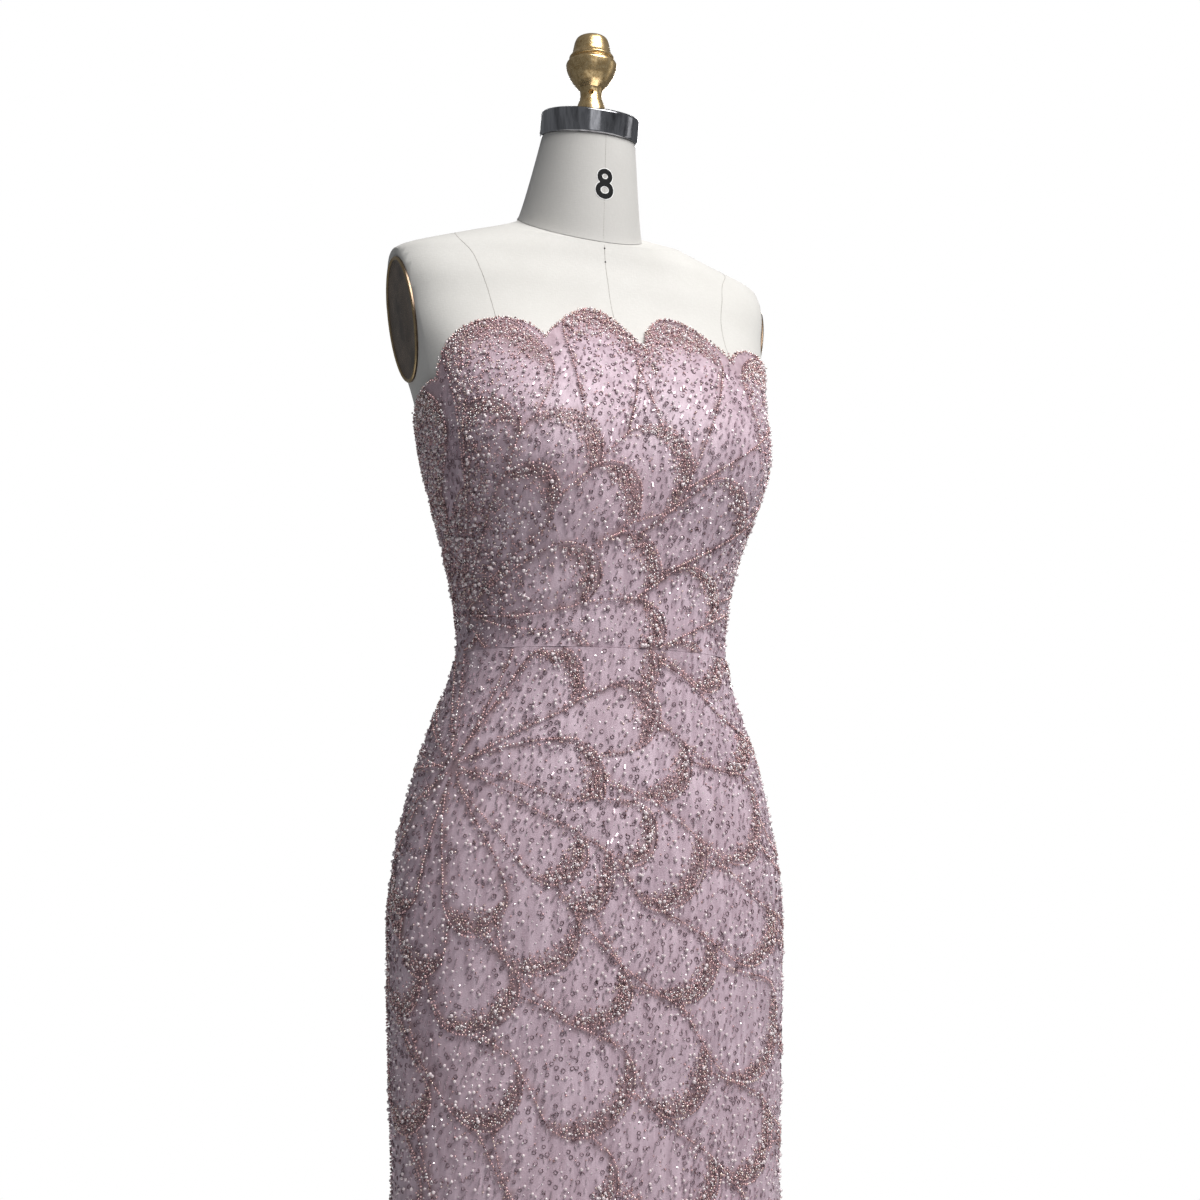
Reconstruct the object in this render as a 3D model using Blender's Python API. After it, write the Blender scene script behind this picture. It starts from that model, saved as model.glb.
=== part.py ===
"""Strapless trumpet evening gown on a limbless dress form that stands on a pole and a round base.

The front faces -Y and the wearer's left is +X. A place on the gown or the form is given by its turn,
in degrees round the body from the centre front towards +X, and its height above the waist seam.
"""
import math
from collections import namedtuple

import bmesh
import bpy
import numpy as np
from mathutils import Matrix, Vector

# Driving sizes, in metres
WAIST_Z = 1.060
CLOTH = 0.0016
SEAM_GAP = 0.0003
FORM_INSET = 0.0007
TURN_STRETCH = 1.35

# Heights above the waist seam
FORM_BOTTOM = -0.270
FLARE_SEAM = -0.500
WAIST_SEAM = -0.010
HEM = -1.052
ZIP_END = -0.200

# The body's level sections, from the hem to the neck. Each has its centre this far behind the pole's axis,
# and its front and back depths are from that centre.
Section = namedtuple("Section", "height half_width front back centre squareness")
SECTIONS = (
    Section(-1.052, 0.345, 0.335, 0.335, 0.000, 2.00),
    Section(-0.950, 0.306, 0.284, 0.290, 0.000, 2.00),
    Section(-0.850, 0.268, 0.234, 0.246, 0.000, 2.00),
    Section(-0.750, 0.234, 0.188, 0.205, 0.000, 2.05),
    Section(-0.650, 0.204, 0.146, 0.168, 0.000, 2.10),
    Section(-0.570, 0.185, 0.118, 0.144, 0.000, 2.10),
    Section(-0.500, 0.177, 0.107, 0.136, 0.000, 2.15),
    Section(-0.400, 0.1785, 0.107, 0.142, 0.000, 2.15),
    Section(-0.300, 0.181, 0.108, 0.150, 0.000, 2.15),
    Section(-0.220, 0.180, 0.108, 0.149, 0.000, 2.15),
    Section(-0.140, 0.166, 0.103, 0.133, 0.000, 2.15),
    Section(-0.080, 0.148, 0.098, 0.116, 0.000, 2.15),
    Section(-0.030, 0.129, 0.096, 0.096, 0.000, 2.15),
    Section(0.000, 0.123, 0.098, 0.086, 0.000, 2.15),
    Section(0.030, 0.1245, 0.100, 0.086, 0.000, 2.15),
    Section(0.080, 0.1345, 0.107, 0.095, 0.000, 2.15),
    Section(0.130, 0.147, 0.115, 0.103, 0.000, 2.20),
    Section(0.170, 0.156, 0.117, 0.110, 0.001, 2.25),
    Section(0.220, 0.163, 0.108, 0.117, 0.004, 2.40),
    Section(0.250, 0.168, 0.100, 0.114, 0.012, 2.60),
    Section(0.280, 0.1765, 0.088, 0.107, 0.022, 2.90),
    Section(0.310, 0.1825, 0.080, 0.097, 0.030, 3.00),
    Section(0.335, 0.1870, 0.073, 0.087, 0.031, 2.90),
    Section(0.355, 0.1880, 0.067, 0.077, 0.031, 2.40),
    Section(0.367, 0.1830, 0.0655, 0.071, 0.031, 2.05),
    Section(0.376, 0.1610, 0.0645, 0.067, 0.031, 1.85),
    Section(0.386, 0.1270, 0.0635, 0.065, 0.030, 1.80),
    Section(0.398, 0.0850, 0.0620, 0.063, 0.030, 1.85),
    Section(0.410, 0.0640, 0.0610, 0.061, 0.029, 2.00),
    Section(0.424, 0.0610, 0.060, 0.060, 0.029, 2.00),
    Section(0.448, 0.0600, 0.060, 0.060, 0.029, 2.00),
)

# The bust darts round each side of the front out by this much
BUST_DEPTH = 0.024
BUST_HEIGHT = 0.170
BUST_RISE = 0.070
BUST_BEARING = 42.0
BUST_WIDTH = 27.0

# The top edge, scallop by scallop: where each starts, its height there, and how far it rises
Scallop = namedtuple("Scallop", "turn height rise")
SCALLOPS = (
    Scallop(8.0, 0.260, 0.040),
    Scallop(43.5, 0.262, 0.036),
    Scallop(83.0, 0.226, 0.010),
    Scallop(115.0, 0.200, 0.012),
    Scallop(148.0, 0.187, 0.014),
    Scallop(180.0, 0.181, 0.014),
    Scallop(216.0, 0.187, 0.012),
    Scallop(252.0, 0.199, 0.009),
    Scallop(290.0, 0.228, 0.035),
    Scallop(329.5, 0.262, 0.041),
    Scallop(368.0, 0.260, 0.000),
)
ARCH_POWER = 0.8
STEPS_PER_SCALLOP = 6

# The flare's folds: where each stands, how far it comes forward at the hem, and its half width
Flute = namedtuple("Flute", "turn depth half_width")
FLUTES = (
    Flute(0.0, 0.040, 9.5),
    Flute(29.0, 0.034, 8.0),
    Flute(60.0, 0.044, 9.0),
    Flute(90.0, 0.040, 8.0),
    Flute(118.0, 0.036, 9.0),
    Flute(149.0, 0.046, 8.5),
    Flute(180.0, 0.040, 9.5),
    Flute(209.0, 0.042, 8.0),
    Flute(241.0, 0.034, 9.5),
    Flute(270.0, 0.040, 8.5),
    Flute(303.0, 0.046, 9.0),
    Flute(332.0, 0.036, 8.0),
)
FLUTE_GROWTH = 1.25
STEPS_PER_FLUTE = 8

# Levels of the mesh rows. The form and the cloth on it share them, so that their facets run together
SKIRT_LEVELS = (
    FLARE_SEAM, -0.440, -0.380, -0.320, FORM_BOTTOM, -0.220, ZIP_END, -0.165, -0.120, -0.080, -0.045, WAIST_SEAM,
)
BODICE_LEVELS = (WAIST_SEAM, 0.015, 0.040, 0.075, 0.115)
BODICE_UPPER_ROWS = 5
CHEST_TOP = 0.316
CHEST_ROWS = 4
SHOULDER_LEVELS = (0.334, 0.348, 0.358, 0.367, 0.376, 0.386, 0.398, 0.410, 0.424, 0.448)
FLARE_ROWS = 8

# The zip at the centre back
ZIP_WIDTH = 0.0042
ZIP_TOP_GAP = 0.0025
SLIDER_DROP = 0.011
SLIDER = Vector((0.0046, 0.0016, 0.0090))
EAR = Vector((0.0007, 0.0030, 0.0020))
EAR_SPREAD = 0.0038
PIN_RADIUS = 0.00045
PIN_STANDOFF = 0.0032
EYE_OUTER = 0.0011
EYE_INNER = 0.00065
EYE_LENGTH = 0.0022
PULL_LENGTH = 0.017
PULL_NECK = 0.0018
PULL_WIDTH = 0.0044
PULL_THICKNESS = 0.0009

# The form's neck, cap, finial, arm plates and stand
NECK_BASE_CENTRE = Vector((0.0, 0.0290, 0.4080))
NECK_BASE_TILT = 28.0
NECK_BASE_RADII = (0.0595, 0.0685)
NECK_TOP_CENTRE = Vector((0.0, 0.0060, 0.4875))
NECK_TOP_RADIUS = 0.0446
CAP_TILT = 14.0
CAP_RADIUS = 0.0470
CAP_HEIGHT = 0.0225
FINIAL_TILT = 2.0
FINIAL_HOLE_RADIUS = 0.0026
FINIAL_HOLE_DEPTH = 0.0060
FINIAL_HOLE_HEIGHT = 0.0196
FINIAL_HOLE_BEARING = -22.0
PLATE_CENTRE = Vector((0.1735, 0.0300, 0.3000))
PLATE_LEAN = 9.3
PLATE_RADII = (0.0390, 0.0580)
POLE_RADIUS = 0.016
FLANGE_RADIUS = 0.045
FLANGE_HEIGHT = 0.006
BASE_RADIUS = 0.170
BASE_HEIGHT = 0.012
BASE_BEVEL = 0.003

Ring = namedtuple("Ring", "height radius")
FINIAL_PROFILE = (
    Ring(0.0000, 0.0128), Ring(0.0080, 0.0110), Ring(0.0110, 0.0104), Ring(0.0170, 0.0102), Ring(0.0255, 0.0110),
    Ring(0.0310, 0.0142), Ring(0.0380, 0.0190), Ring(0.0450, 0.0230), Ring(0.0488, 0.0243), Ring(0.0518, 0.0228),
    Ring(0.0540, 0.0197), Ring(0.0562, 0.0204), Ring(0.0586, 0.0194), Ring(0.0604, 0.0184), Ring(0.0705, 0.0163),
    Ring(0.0746, 0.0145), Ring(0.0762, 0.0108),
)
PLATE_PROFILE = (
    Ring(0.0000, 1.000), Ring(0.0020, 1.000), Ring(0.0028, 0.975), Ring(0.0020, 0.945), Ring(0.0014, 0.920),
    Ring(0.0018, 0.500),
)

Finish = namedtuple("Finish", "colour roughness metallic")
CLOTH_FINISH = Finish((0.53, 0.42, 0.47), 0.45, 0.0)
LINEN_FINISH = Finish((0.86, 0.85, 0.82), 0.85, 0.0)
GOLD_FINISH = Finish((0.62, 0.45, 0.20), 0.40, 1.0)
STEEL_FINISH = Finish((0.55, 0.56, 0.58), 0.25, 1.0)
BRONZE_FINISH = Finish((0.06, 0.045, 0.03), 0.30, 0.6)
BLACK_FINISH = Finish((0.03, 0.03, 0.032), 0.45, 0.3)


# Scene and materials
def clear_scene():
    for thing in list(bpy.data.objects):
        bpy.data.objects.remove(thing)


def material(name, finish):
    found = bpy.data.materials.get(name)
    if found:
        return found
    made = bpy.data.materials.new(name)
    made.use_nodes = True
    shader = made.node_tree.nodes["Principled BSDF"]
    shader.inputs["Base Color"].default_value = (*finish.colour, 1.0)
    shader.inputs["Roughness"].default_value = finish.roughness
    shader.inputs["Metallic"].default_value = finish.metallic
    return made


def add_object(name, mesh, slot, finish):
    made = bpy.data.objects.new(name, mesh)
    bpy.context.scene.collection.objects.link(made)
    made.data.materials.append(material(slot, finish))
    made.data.shade_smooth()
    made.data.set_sharp_from_angle(angle=math.radians(40.0))
    return made


def mesh_from(name, points, faces):
    mesh = bpy.data.meshes.new(name)
    mesh.from_pydata([tuple(p) for p in points], [], [tuple(f) for f in faces])
    mesh.validate()
    return mesh


def mesh_of(name, shape):
    """The bmesh as a mesh with its faces pointing out."""
    bmesh.ops.recalc_face_normals(shape, faces=shape.faces)
    mesh = bpy.data.meshes.new(name)
    shape.to_mesh(mesh)
    shape.free()
    return mesh


# The body's surface
def sections_at(height):
    """The section table's columns at these heights, along smooth curves through its rows."""
    table = np.array(SECTIONS)
    levels = table[:, 0]
    height = np.clip(height, levels[0], levels[-1])
    row = np.clip(np.searchsorted(levels, height, side="right") - 1, 0, len(levels) - 2)
    span = levels[row + 1] - levels[row]
    part = (height - levels[row]) / span
    columns = []
    for values in table[:, 1:].T:
        slope = np.gradient(values, levels)
        columns.append(
            (1 + 2 * part) * (1 - part) ** 2 * values[row]
            + part * (1 - part) ** 2 * span * slope[row]
            + part**2 * (3 - 2 * part) * values[row + 1]
            + part**2 * (part - 1) * span * slope[row + 1]
        )
    return columns


def flute_depth(turn, height):
    """How far the flare's folds stand out here."""
    grown = np.clip((FLARE_SEAM - height) / (FLARE_SEAM - HEM), 0.0, 1.0) ** FLUTE_GROWTH
    depth = np.zeros_like(turn)
    for flute in FLUTES:
        away = (turn - flute.turn + 180.0) % 360.0 - 180.0
        depth = depth + flute.depth * np.exp(-((away / flute.half_width) ** 2))
    return grown * depth


def body_points(turn, height):
    """Points of the body's surface, and of the flare's below it."""
    turn, height = np.broadcast_arrays(np.asarray(turn, float), np.asarray(height, float))
    half_width, front, back, centre, squareness = sections_at(height)
    across = TURN_STRETCH * np.sin(np.radians(turn))
    ahead = np.cos(np.radians(turn))
    length = np.hypot(across, ahead)
    across, ahead = across / length, ahead / length
    depth = np.where(ahead > 0, front, back)
    reach = (np.abs(across / half_width) ** squareness + np.abs(ahead / depth) ** squareness) ** (-1 / squareness)
    bearing = np.abs(np.degrees(np.arctan2(across, ahead)))
    bust = np.exp(-(((bearing - BUST_BEARING) / BUST_WIDTH) ** 2) - ((height - BUST_HEIGHT) / BUST_RISE) ** 2)
    reach = reach + BUST_DEPTH * bust + flute_depth(turn, height)
    return np.stack([reach * across, centre - reach * ahead, WAIST_Z + height], axis=-1)


def body_normals(turn, height, step=0.002):
    """Unit normals of the surface, pointing away from the body."""
    turn, height = np.broadcast_arrays(np.asarray(turn, float), np.asarray(height, float))
    along = body_points(turn + 100 * step, height) - body_points(turn - 100 * step, height)
    up = body_points(turn, height + step) - body_points(turn, height - step)
    normal = np.cross(along, up)
    return normal / np.linalg.norm(normal, axis=-1, keepdims=True)


def offset_points(turn, height, out):
    return body_points(turn, height) + out * body_normals(turn, height)


def turn_for(distance, turn, height):
    """The turn, in degrees, that covers this distance round the body."""
    ends = body_points(np.array([turn - 0.5, turn + 0.5]), np.array([height, height]))
    return distance / float(np.linalg.norm(ends[1] - ends[0]))


def top_edge(turn):
    """Height of the scalloped top edge."""
    start = SCALLOPS[0].turn
    turn = (turn - start) % 360.0 + start
    for this, after in zip(SCALLOPS, SCALLOPS[1:]):
        if turn <= after.turn:
            part = (turn - this.turn) / (after.turn - this.turn)
            arch = max(0.0, 1.0 - (2.0 * part - 1.0) ** 2) ** ARCH_POWER
            return this.height + (after.height - this.height) * part + this.rise * arch
    return SCALLOPS[-1].height


def scallop_turns():
    """Columns round the body, closer at the scallops' ends, with the side seams."""
    turns = {90.0, 270.0}
    for this, after in zip(SCALLOPS, SCALLOPS[1:]):
        for step in range(STEPS_PER_SCALLOP):
            even = step / STEPS_PER_SCALLOP
            part = (even + (1.0 - math.cos(math.pi * even)) / 2.0) / 2.0
            turn = this.turn + (after.turn - this.turn) * part
            if min(abs(turn % 360.0 - seam) for seam in (90.0, 270.0)) > 1.5:
                turns.add(turn % 360.0)
    return sorted(turns)


def between(turns, low, high):
    """The columns strictly inside a panel, with its two edges."""
    wrapped = sorted((turn - low) % 360.0 + low for turn in turns)
    inside = [turn for turn in wrapped if low + 1.0 < turn < high - 1.0]
    return [low, *inside, high]


# Cloth panels
def wall_mesh(name, turns, heights):
    """A closed cloth wall over a grid of turns and heights, columns by rows."""
    turns, heights = np.array(turns, float), np.array(heights, float)
    columns, rows = turns.shape
    inner = body_points(turns, heights).reshape(-1, 3)
    outer = offset_points(turns, heights, CLOTH).reshape(-1, 3)
    count = columns * rows
    faces = []
    for column in range(columns - 1):
        for row in range(rows - 1):
            a = column * rows + row
            b = a + rows
            faces += [(count + a, count + b, count + b + 1), (count + a, count + b + 1, count + a + 1)]
            faces += [(b + 1, b, a), (a + 1, b + 1, a)]
    rim = [column * rows for column in range(columns)]
    rim += [(columns - 1) * rows + row for row in range(1, rows)]
    rim += [column * rows + rows - 1 for column in range(columns - 2, -1, -1)]
    rim += list(range(rows - 2, 0, -1))
    for here, there in zip(rim, rim[1:] + rim[:1]):
        faces.append((here, there, count + there, count + here))
    return mesh_from(name, np.concatenate([inner, outer]), faces)


def add_panel(name, turns, heights):
    return add_object(name, wall_mesh(name, turns, heights), "gown_cloth", CLOTH_FINISH)


def bodice_heights(turn):
    """Row heights up one column of the bodice, from the waist seam to the top edge."""
    low = [WAIST_SEAM + SEAM_GAP / 2, *BODICE_LEVELS[1:]]
    top = top_edge(turn)
    last = low[-1]
    upper = [last + (top - last) * step / BODICE_UPPER_ROWS for step in range(1, BODICE_UPPER_ROWS + 1)]
    return low + upper


def zip_clearance(height):
    """How far a back panel's edge stays from the centre back."""
    half_zip = ZIP_WIDTH / 2 + SEAM_GAP
    return half_zip if height > ZIP_END - 0.001 else SEAM_GAP / 2


def edge_turn(seam, side, height, distance):
    """The turn of a panel's edge beside a seam, on its side of it."""
    return seam + side * turn_for(distance, seam, height)


def make_bodice(columns):
    panels = (("bodice_front", -90.0, 90.0), ("bodice_back_left", 90.0, 180.0), ("bodice_back_right", 180.0, 270.0))
    for name, low, high in panels:
        inside = between(columns, low, high)
        turns, heights = [], []
        for place, turn in enumerate(inside):
            levels = bodice_heights(turn)
            if place in (0, len(inside) - 1):
                side = 1 if place == 0 else -1
                clear = [zip_clearance(level) if turn == 180.0 else SEAM_GAP / 2 for level in levels]
                turns.append([edge_turn(turn, side, level, gap) for level, gap in zip(levels, clear)])
            else:
                turns.append([turn] * len(levels))
            heights.append(levels)
        add_panel(name, turns, heights)


def make_skirt(columns):
    levels = [FLARE_SEAM + SEAM_GAP / 2, *SKIRT_LEVELS[1:-1], WAIST_SEAM - SEAM_GAP / 2]
    place_of_end = levels.index(ZIP_END)
    levels.insert(place_of_end, ZIP_END - 0.004)
    panels = (("skirt_front", -90.0, 90.0), ("skirt_back_left", 90.0, 180.0), ("skirt_back_right", 180.0, 270.0))
    for name, low, high in panels:
        inside = between(columns, low, high)
        turns = []
        for place, turn in enumerate(inside):
            if place in (0, len(inside) - 1):
                side = 1 if place == 0 else -1
                clear = [zip_clearance(level) if turn == 180.0 else SEAM_GAP / 2 for level in levels]
                turns.append([edge_turn(turn, side, level, gap) for level, gap in zip(levels, clear)])
            else:
                turns.append([turn] * len(levels))
        add_panel(name, turns, [levels] * len(inside))


def make_flare():
    top = FLARE_SEAM - SEAM_GAP / 2
    levels = [HEM + (top - HEM) * row / FLARE_ROWS for row in range(FLARE_ROWS + 1)]
    step = 360.0 / (len(FLUTES) * STEPS_PER_FLUTE)
    for name, low, high in (("flare_front", -90.0, 90.0), ("flare_back", 90.0, 270.0)):
        count = round((high - low) / step)
        turns = [[low + step * place] * len(levels) for place in range(count + 1)]
        turns[0] = [edge_turn(low, 1, level, SEAM_GAP / 2) for level in levels]
        turns[-1] = [edge_turn(high, -1, level, SEAM_GAP / 2) for level in levels]
        add_panel(name, turns, [levels] * (count + 1))


# The zip
def make_zip():
    """The closed chain between the back panels, with its slider and the pull that swings on it."""
    top = top_edge(180.0) - ZIP_TOP_GAP
    skirt = [level for level in SKIRT_LEVELS if level > ZIP_END]
    upper = [level for level in bodice_heights(180.0)[1:-1] if level < top - 0.004]
    levels = [ZIP_END + SEAM_GAP, *skirt, *upper, top]
    turns = [[edge_turn(180.0, side, level, ZIP_WIDTH / 2) for level in levels] for side in (-1, 1)]
    mesh = wall_mesh("zip_chain", turns, [levels] * 2)
    add_object("zip_chain", mesh, "gown_cloth", CLOTH_FINISH)

    height = top - SLIDER_DROP
    face = Vector(offset_points(180.0, height, CLOTH + SEAM_GAP))
    normal = Vector(body_normals(180.0, height))
    up = normal.cross(Vector((1.0, 0.0, 0.0))) * -1.0
    frame = Matrix((Vector((1.0, 0.0, 0.0)), normal, up)).transposed().to_4x4()
    frame.translation = face

    slider = box_shape(SLIDER, Vector((0.0, SLIDER.y / 2, 0.0)))
    for side in (-1, 1):
        centre = Vector((side * EAR_SPREAD / 2, SLIDER.y + EAR.y / 2 - 0.0006, 0.0))
        slider = joined(slider, box_shape(EAR, centre))
    pin_centre = Vector((0.0, SLIDER.y + PIN_STANDOFF - 0.0016, 0.0))
    slider = joined(slider, bar_shape(PIN_RADIUS, EAR_SPREAD, pin_centre, 10))
    slider.transform(frame)
    add_object("zip_slider", slider, "steel", STEEL_FINISH)

    pivot = frame @ pin_centre
    eye = bar_shape(EYE_OUTER, EYE_LENGTH, Vector(), 16)
    drop = drop_shape()
    pull = cut_from(joined(eye, drop), bar_shape(EYE_INNER, EYE_LENGTH * 2, Vector(), 16))
    made = add_object("zip_pull", pull, "steel", STEEL_FINISH)
    made.location = pivot
    return pivot


def box_shape(size, centre):
    shape = bmesh.new()
    bmesh.ops.create_cube(shape, size=1.0, matrix=Matrix.Translation(centre) @ Matrix.Diagonal((*size, 1.0)))
    return mesh_of("box", shape)


def bar_shape(radius, length, centre, sides):
    """A round bar along X."""
    shape = bmesh.new()
    turned = Matrix.Translation(centre) @ Matrix.Rotation(math.radians(90.0), 4, "Y")
    bmesh.ops.create_cone(
        shape, cap_ends=True, segments=sides, radius1=radius, radius2=radius, depth=length, matrix=turned
    )
    return mesh_of("bar", shape)


def drop_shape():
    """The pull's flat drop, hanging from the eye."""
    top = EYE_INNER + 0.0003
    outline = [(-PULL_NECK / 2, -top), (-PULL_NECK / 2, -0.0042)]
    round_centre = -PULL_LENGTH + PULL_WIDTH / 2
    for step in range(9):
        angle = math.radians(200.0 + 140.0 * step / 8)
        outline.append((PULL_WIDTH / 2 * math.cos(angle), round_centre + PULL_WIDTH / 2 * math.sin(angle)))
    outline += [(PULL_NECK / 2, -0.0042), (PULL_NECK / 2, -top)]
    shape = bmesh.new()
    face = shape.faces.new([shape.verts.new((x, -PULL_THICKNESS / 2, z)) for x, z in outline])
    grown = bmesh.ops.extrude_face_region(shape, geom=[face])
    moved = [item for item in grown["geom"] if isinstance(item, bmesh.types.BMVert)]
    bmesh.ops.translate(shape, verts=moved, vec=(0.0, PULL_THICKNESS, 0.0))
    return mesh_of("drop", shape)


def boolean(first, second, operation):
    """The first mesh joined to, or cut by, the second."""
    base = bpy.data.objects.new("base", first)
    tool = bpy.data.objects.new("tool", second)
    for thing in (base, tool):
        bpy.context.scene.collection.objects.link(thing)
    step = base.modifiers.new("step", "BOOLEAN")
    step.operation = operation
    step.object = tool
    step.solver = "EXACT"
    bpy.context.view_layer.update()
    shown = base.evaluated_get(bpy.context.evaluated_depsgraph_get())
    made = bpy.data.meshes.new_from_object(shown)
    for thing in (base, tool):
        bpy.data.objects.remove(thing)
    return made


def joined(first, second):
    return boolean(first, second, "UNION")


def cut_from(first, second):
    return boolean(first, second, "DIFFERENCE")


# The dress form
def form_heights(turn):
    """Row heights up one column of the form: the cloth's rows, then its own above the top edge."""
    skirt = [level for level in SKIRT_LEVELS if level >= FORM_BOTTOM - 0.0001]
    bodice = bodice_heights(turn)[1:]
    top = bodice[-1]
    chest = [top + (CHEST_TOP - top) * step / CHEST_ROWS for step in range(1, CHEST_ROWS + 1)]
    return skirt + bodice + chest + list(SHOULDER_LEVELS)


def make_torso(columns):
    shape = bmesh.new()
    levels = np.array([form_heights(turn) for turn in columns]).T
    rings = []
    for row in levels:
        points = offset_points(np.array(columns), row, -FORM_INSET)
        rings.append([shape.verts.new(point) for point in points])
    for low, high in zip(rings, rings[1:]):
        for place, vertex in enumerate(low):
            after = (place + 1) % len(low)
            shape.faces.new((vertex, low[after], high[after]))
            shape.faces.new((vertex, high[after], high[place]))
    shape.faces.new(list(reversed(rings[0])))
    shape.faces.new(rings[-1])

    tilt = math.radians(NECK_BASE_TILT)
    normal = Vector((0.0, -math.sin(tilt), math.cos(tilt)))
    point = NECK_BASE_CENTRE + Vector((0.0, 0.0, WAIST_Z))
    everything = list(shape.verts) + list(shape.edges) + list(shape.faces)
    cut = bmesh.ops.bisect_plane(shape, geom=everything, plane_co=point, plane_no=normal, clear_outer=True)
    edges = [item for item in cut["geom_cut"] if isinstance(item, bmesh.types.BMEdge)]
    bmesh.ops.edgeloop_fill(shape, edges=edges)
    torso = mesh_of("form_torso", shape)
    for side in (-1, 1):
        torso = cut_from(torso, armhole_cutter(side))
    torso.materials.clear()
    add_object("form_torso", torso, "form_linen", LINEN_FINISH)


def plate_frame(side):
    """The arm plate's frame: its own Z is the plate's outward normal and its Y runs up the armhole."""
    lean = math.radians(PLATE_LEAN)
    outward = Vector((side * math.cos(lean), 0.0, -math.sin(lean)))
    up = Vector((side * math.sin(lean), 0.0, math.cos(lean)))
    across = up.cross(outward)
    frame = Matrix((across, up, outward)).transposed().to_4x4()
    frame.translation = Vector((side * PLATE_CENTRE.x, PLATE_CENTRE.y, WAIST_Z + PLATE_CENTRE.z))
    return frame


def oval_rings(shape, rings, sides):
    """Bridges oval rings, each (x radius, y radius, height), into one closed shape."""
    loops = []
    for wide, tall, height in rings:
        angles = [2 * math.pi * step / sides for step in range(sides)]
        loops.append([shape.verts.new((wide * math.cos(a), tall * math.sin(a), height)) for a in angles])
    for low, high in zip(loops, loops[1:]):
        for place, vertex in enumerate(low):
            after = (place + 1) % sides
            shape.faces.new((vertex, low[after], high[after], high[place]))
    shape.faces.new(list(reversed(loops[0])))
    shape.faces.new(loops[-1])


def armhole_cutter(side):
    """The cutter for the armhole's flat face."""
    cutter = box_shape(Vector((0.30, 0.24, 0.10)), Vector((0.0, 0.0, 0.05)))
    cutter.transform(plate_frame(side))
    return cutter


def make_arm_plates():
    for side, name in ((1, "arm_plate_left"), (-1, "arm_plate_right")):
        shape = bmesh.new()
        wide, tall = PLATE_RADII
        rings = [(wide * ring.radius, tall * ring.radius, ring.height + SEAM_GAP) for ring in PLATE_PROFILE]
        oval_rings(shape, rings, 32)
        shape.transform(plate_frame(side))
        add_object(name, mesh_of(name, shape), "arm_plate", BRONZE_FINISH)


def tilted(centre, tilt):
    """A frame at this centre, in waist heights, whose Z leans forward by tilt degrees."""
    frame = Matrix.Rotation(math.radians(tilt), 4, "X")
    frame.translation = centre + Vector((0.0, 0.0, WAIST_Z))
    return frame


def make_neck():
    """The neck, from its slanted seam to the cap."""
    steps, sides = 5, 36
    shape = bmesh.new()
    loops = []
    for step in range(steps + 1):
        part = step / steps
        eased = part**0.85
        tilt = NECK_BASE_TILT + (CAP_TILT - NECK_BASE_TILT) * part
        centre = NECK_BASE_CENTRE.lerp(NECK_TOP_CENTRE, part)
        wide = NECK_BASE_RADII[0] + (NECK_TOP_RADIUS - NECK_BASE_RADII[0]) * eased
        deep = NECK_BASE_RADII[1] + (NECK_TOP_RADIUS - NECK_BASE_RADII[1]) * eased
        lift = SEAM_GAP + 0.0002 if step == 0 else 0.0
        frame = tilted(centre, tilt)
        angles = [2 * math.pi * place / sides for place in range(sides)]
        loops.append(
            [shape.verts.new(frame @ Vector((wide * math.cos(a), deep * math.sin(a), lift))) for a in angles]
        )
    for low, high in zip(loops, loops[1:]):
        for place, vertex in enumerate(low):
            after = (place + 1) % sides
            shape.faces.new((vertex, low[after], high[after], high[place]))
    shape.faces.new(list(reversed(loops[0])))
    shape.faces.new(loops[-1])
    add_object("form_neck", mesh_of("form_neck", shape), "form_linen", LINEN_FINISH)


def turned_shape(name, profile, sides):
    """A solid turned about Z from rings of height and radius."""
    shape = bmesh.new()
    oval_rings(shape, [(ring.radius, ring.radius, ring.height) for ring in profile], sides)
    return mesh_of(name, shape)


def make_cap_and_finial():
    low = SEAM_GAP
    bevel = 0.0008
    cap = (
        Ring(low, CAP_RADIUS - bevel), Ring(low + bevel, CAP_RADIUS),
        Ring(low + CAP_HEIGHT - bevel, CAP_RADIUS), Ring(low + CAP_HEIGHT, CAP_RADIUS - bevel),
    )
    frame = tilted(NECK_TOP_CENTRE, CAP_TILT)
    mesh = turned_shape("neck_cap", cap, 40)
    mesh.transform(frame)
    add_object("neck_cap", mesh, "steel", STEEL_FINISH)

    foot = frame @ Vector((0.0, 0.0, low + CAP_HEIGHT + SEAM_GAP))
    upright = Matrix.Rotation(math.radians(FINIAL_TILT), 4, "X")
    upright.translation = foot
    finial = turned_shape("finial", FINIAL_PROFILE, 24)
    for vertex in finial.vertices:
        on_cap = vertex.co.z < 0.0001
        vertex.co = (upright.inverted() @ (frame.to_3x3() @ vertex.co + foot)) if on_cap else vertex.co
    bearing = math.radians(FINIAL_HOLE_BEARING)
    outward = Vector((math.sin(bearing), -math.cos(bearing), 0.0))
    drill = bar_shape(FINIAL_HOLE_RADIUS, 0.030, Vector(), 12)
    place = outward.to_track_quat("X", "Z").to_matrix().to_4x4()
    stem_radius = FINIAL_PROFILE[3].radius
    reach = stem_radius - FINIAL_HOLE_DEPTH + 0.015
    place.translation = Vector((0.0, 0.0, FINIAL_HOLE_HEIGHT)) + outward * reach
    drill.transform(place)
    finial = cut_from(finial, drill)
    finial.transform(upright)
    finial.materials.clear()
    add_object("finial", finial, "finial_gold", GOLD_FINISH)


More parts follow.
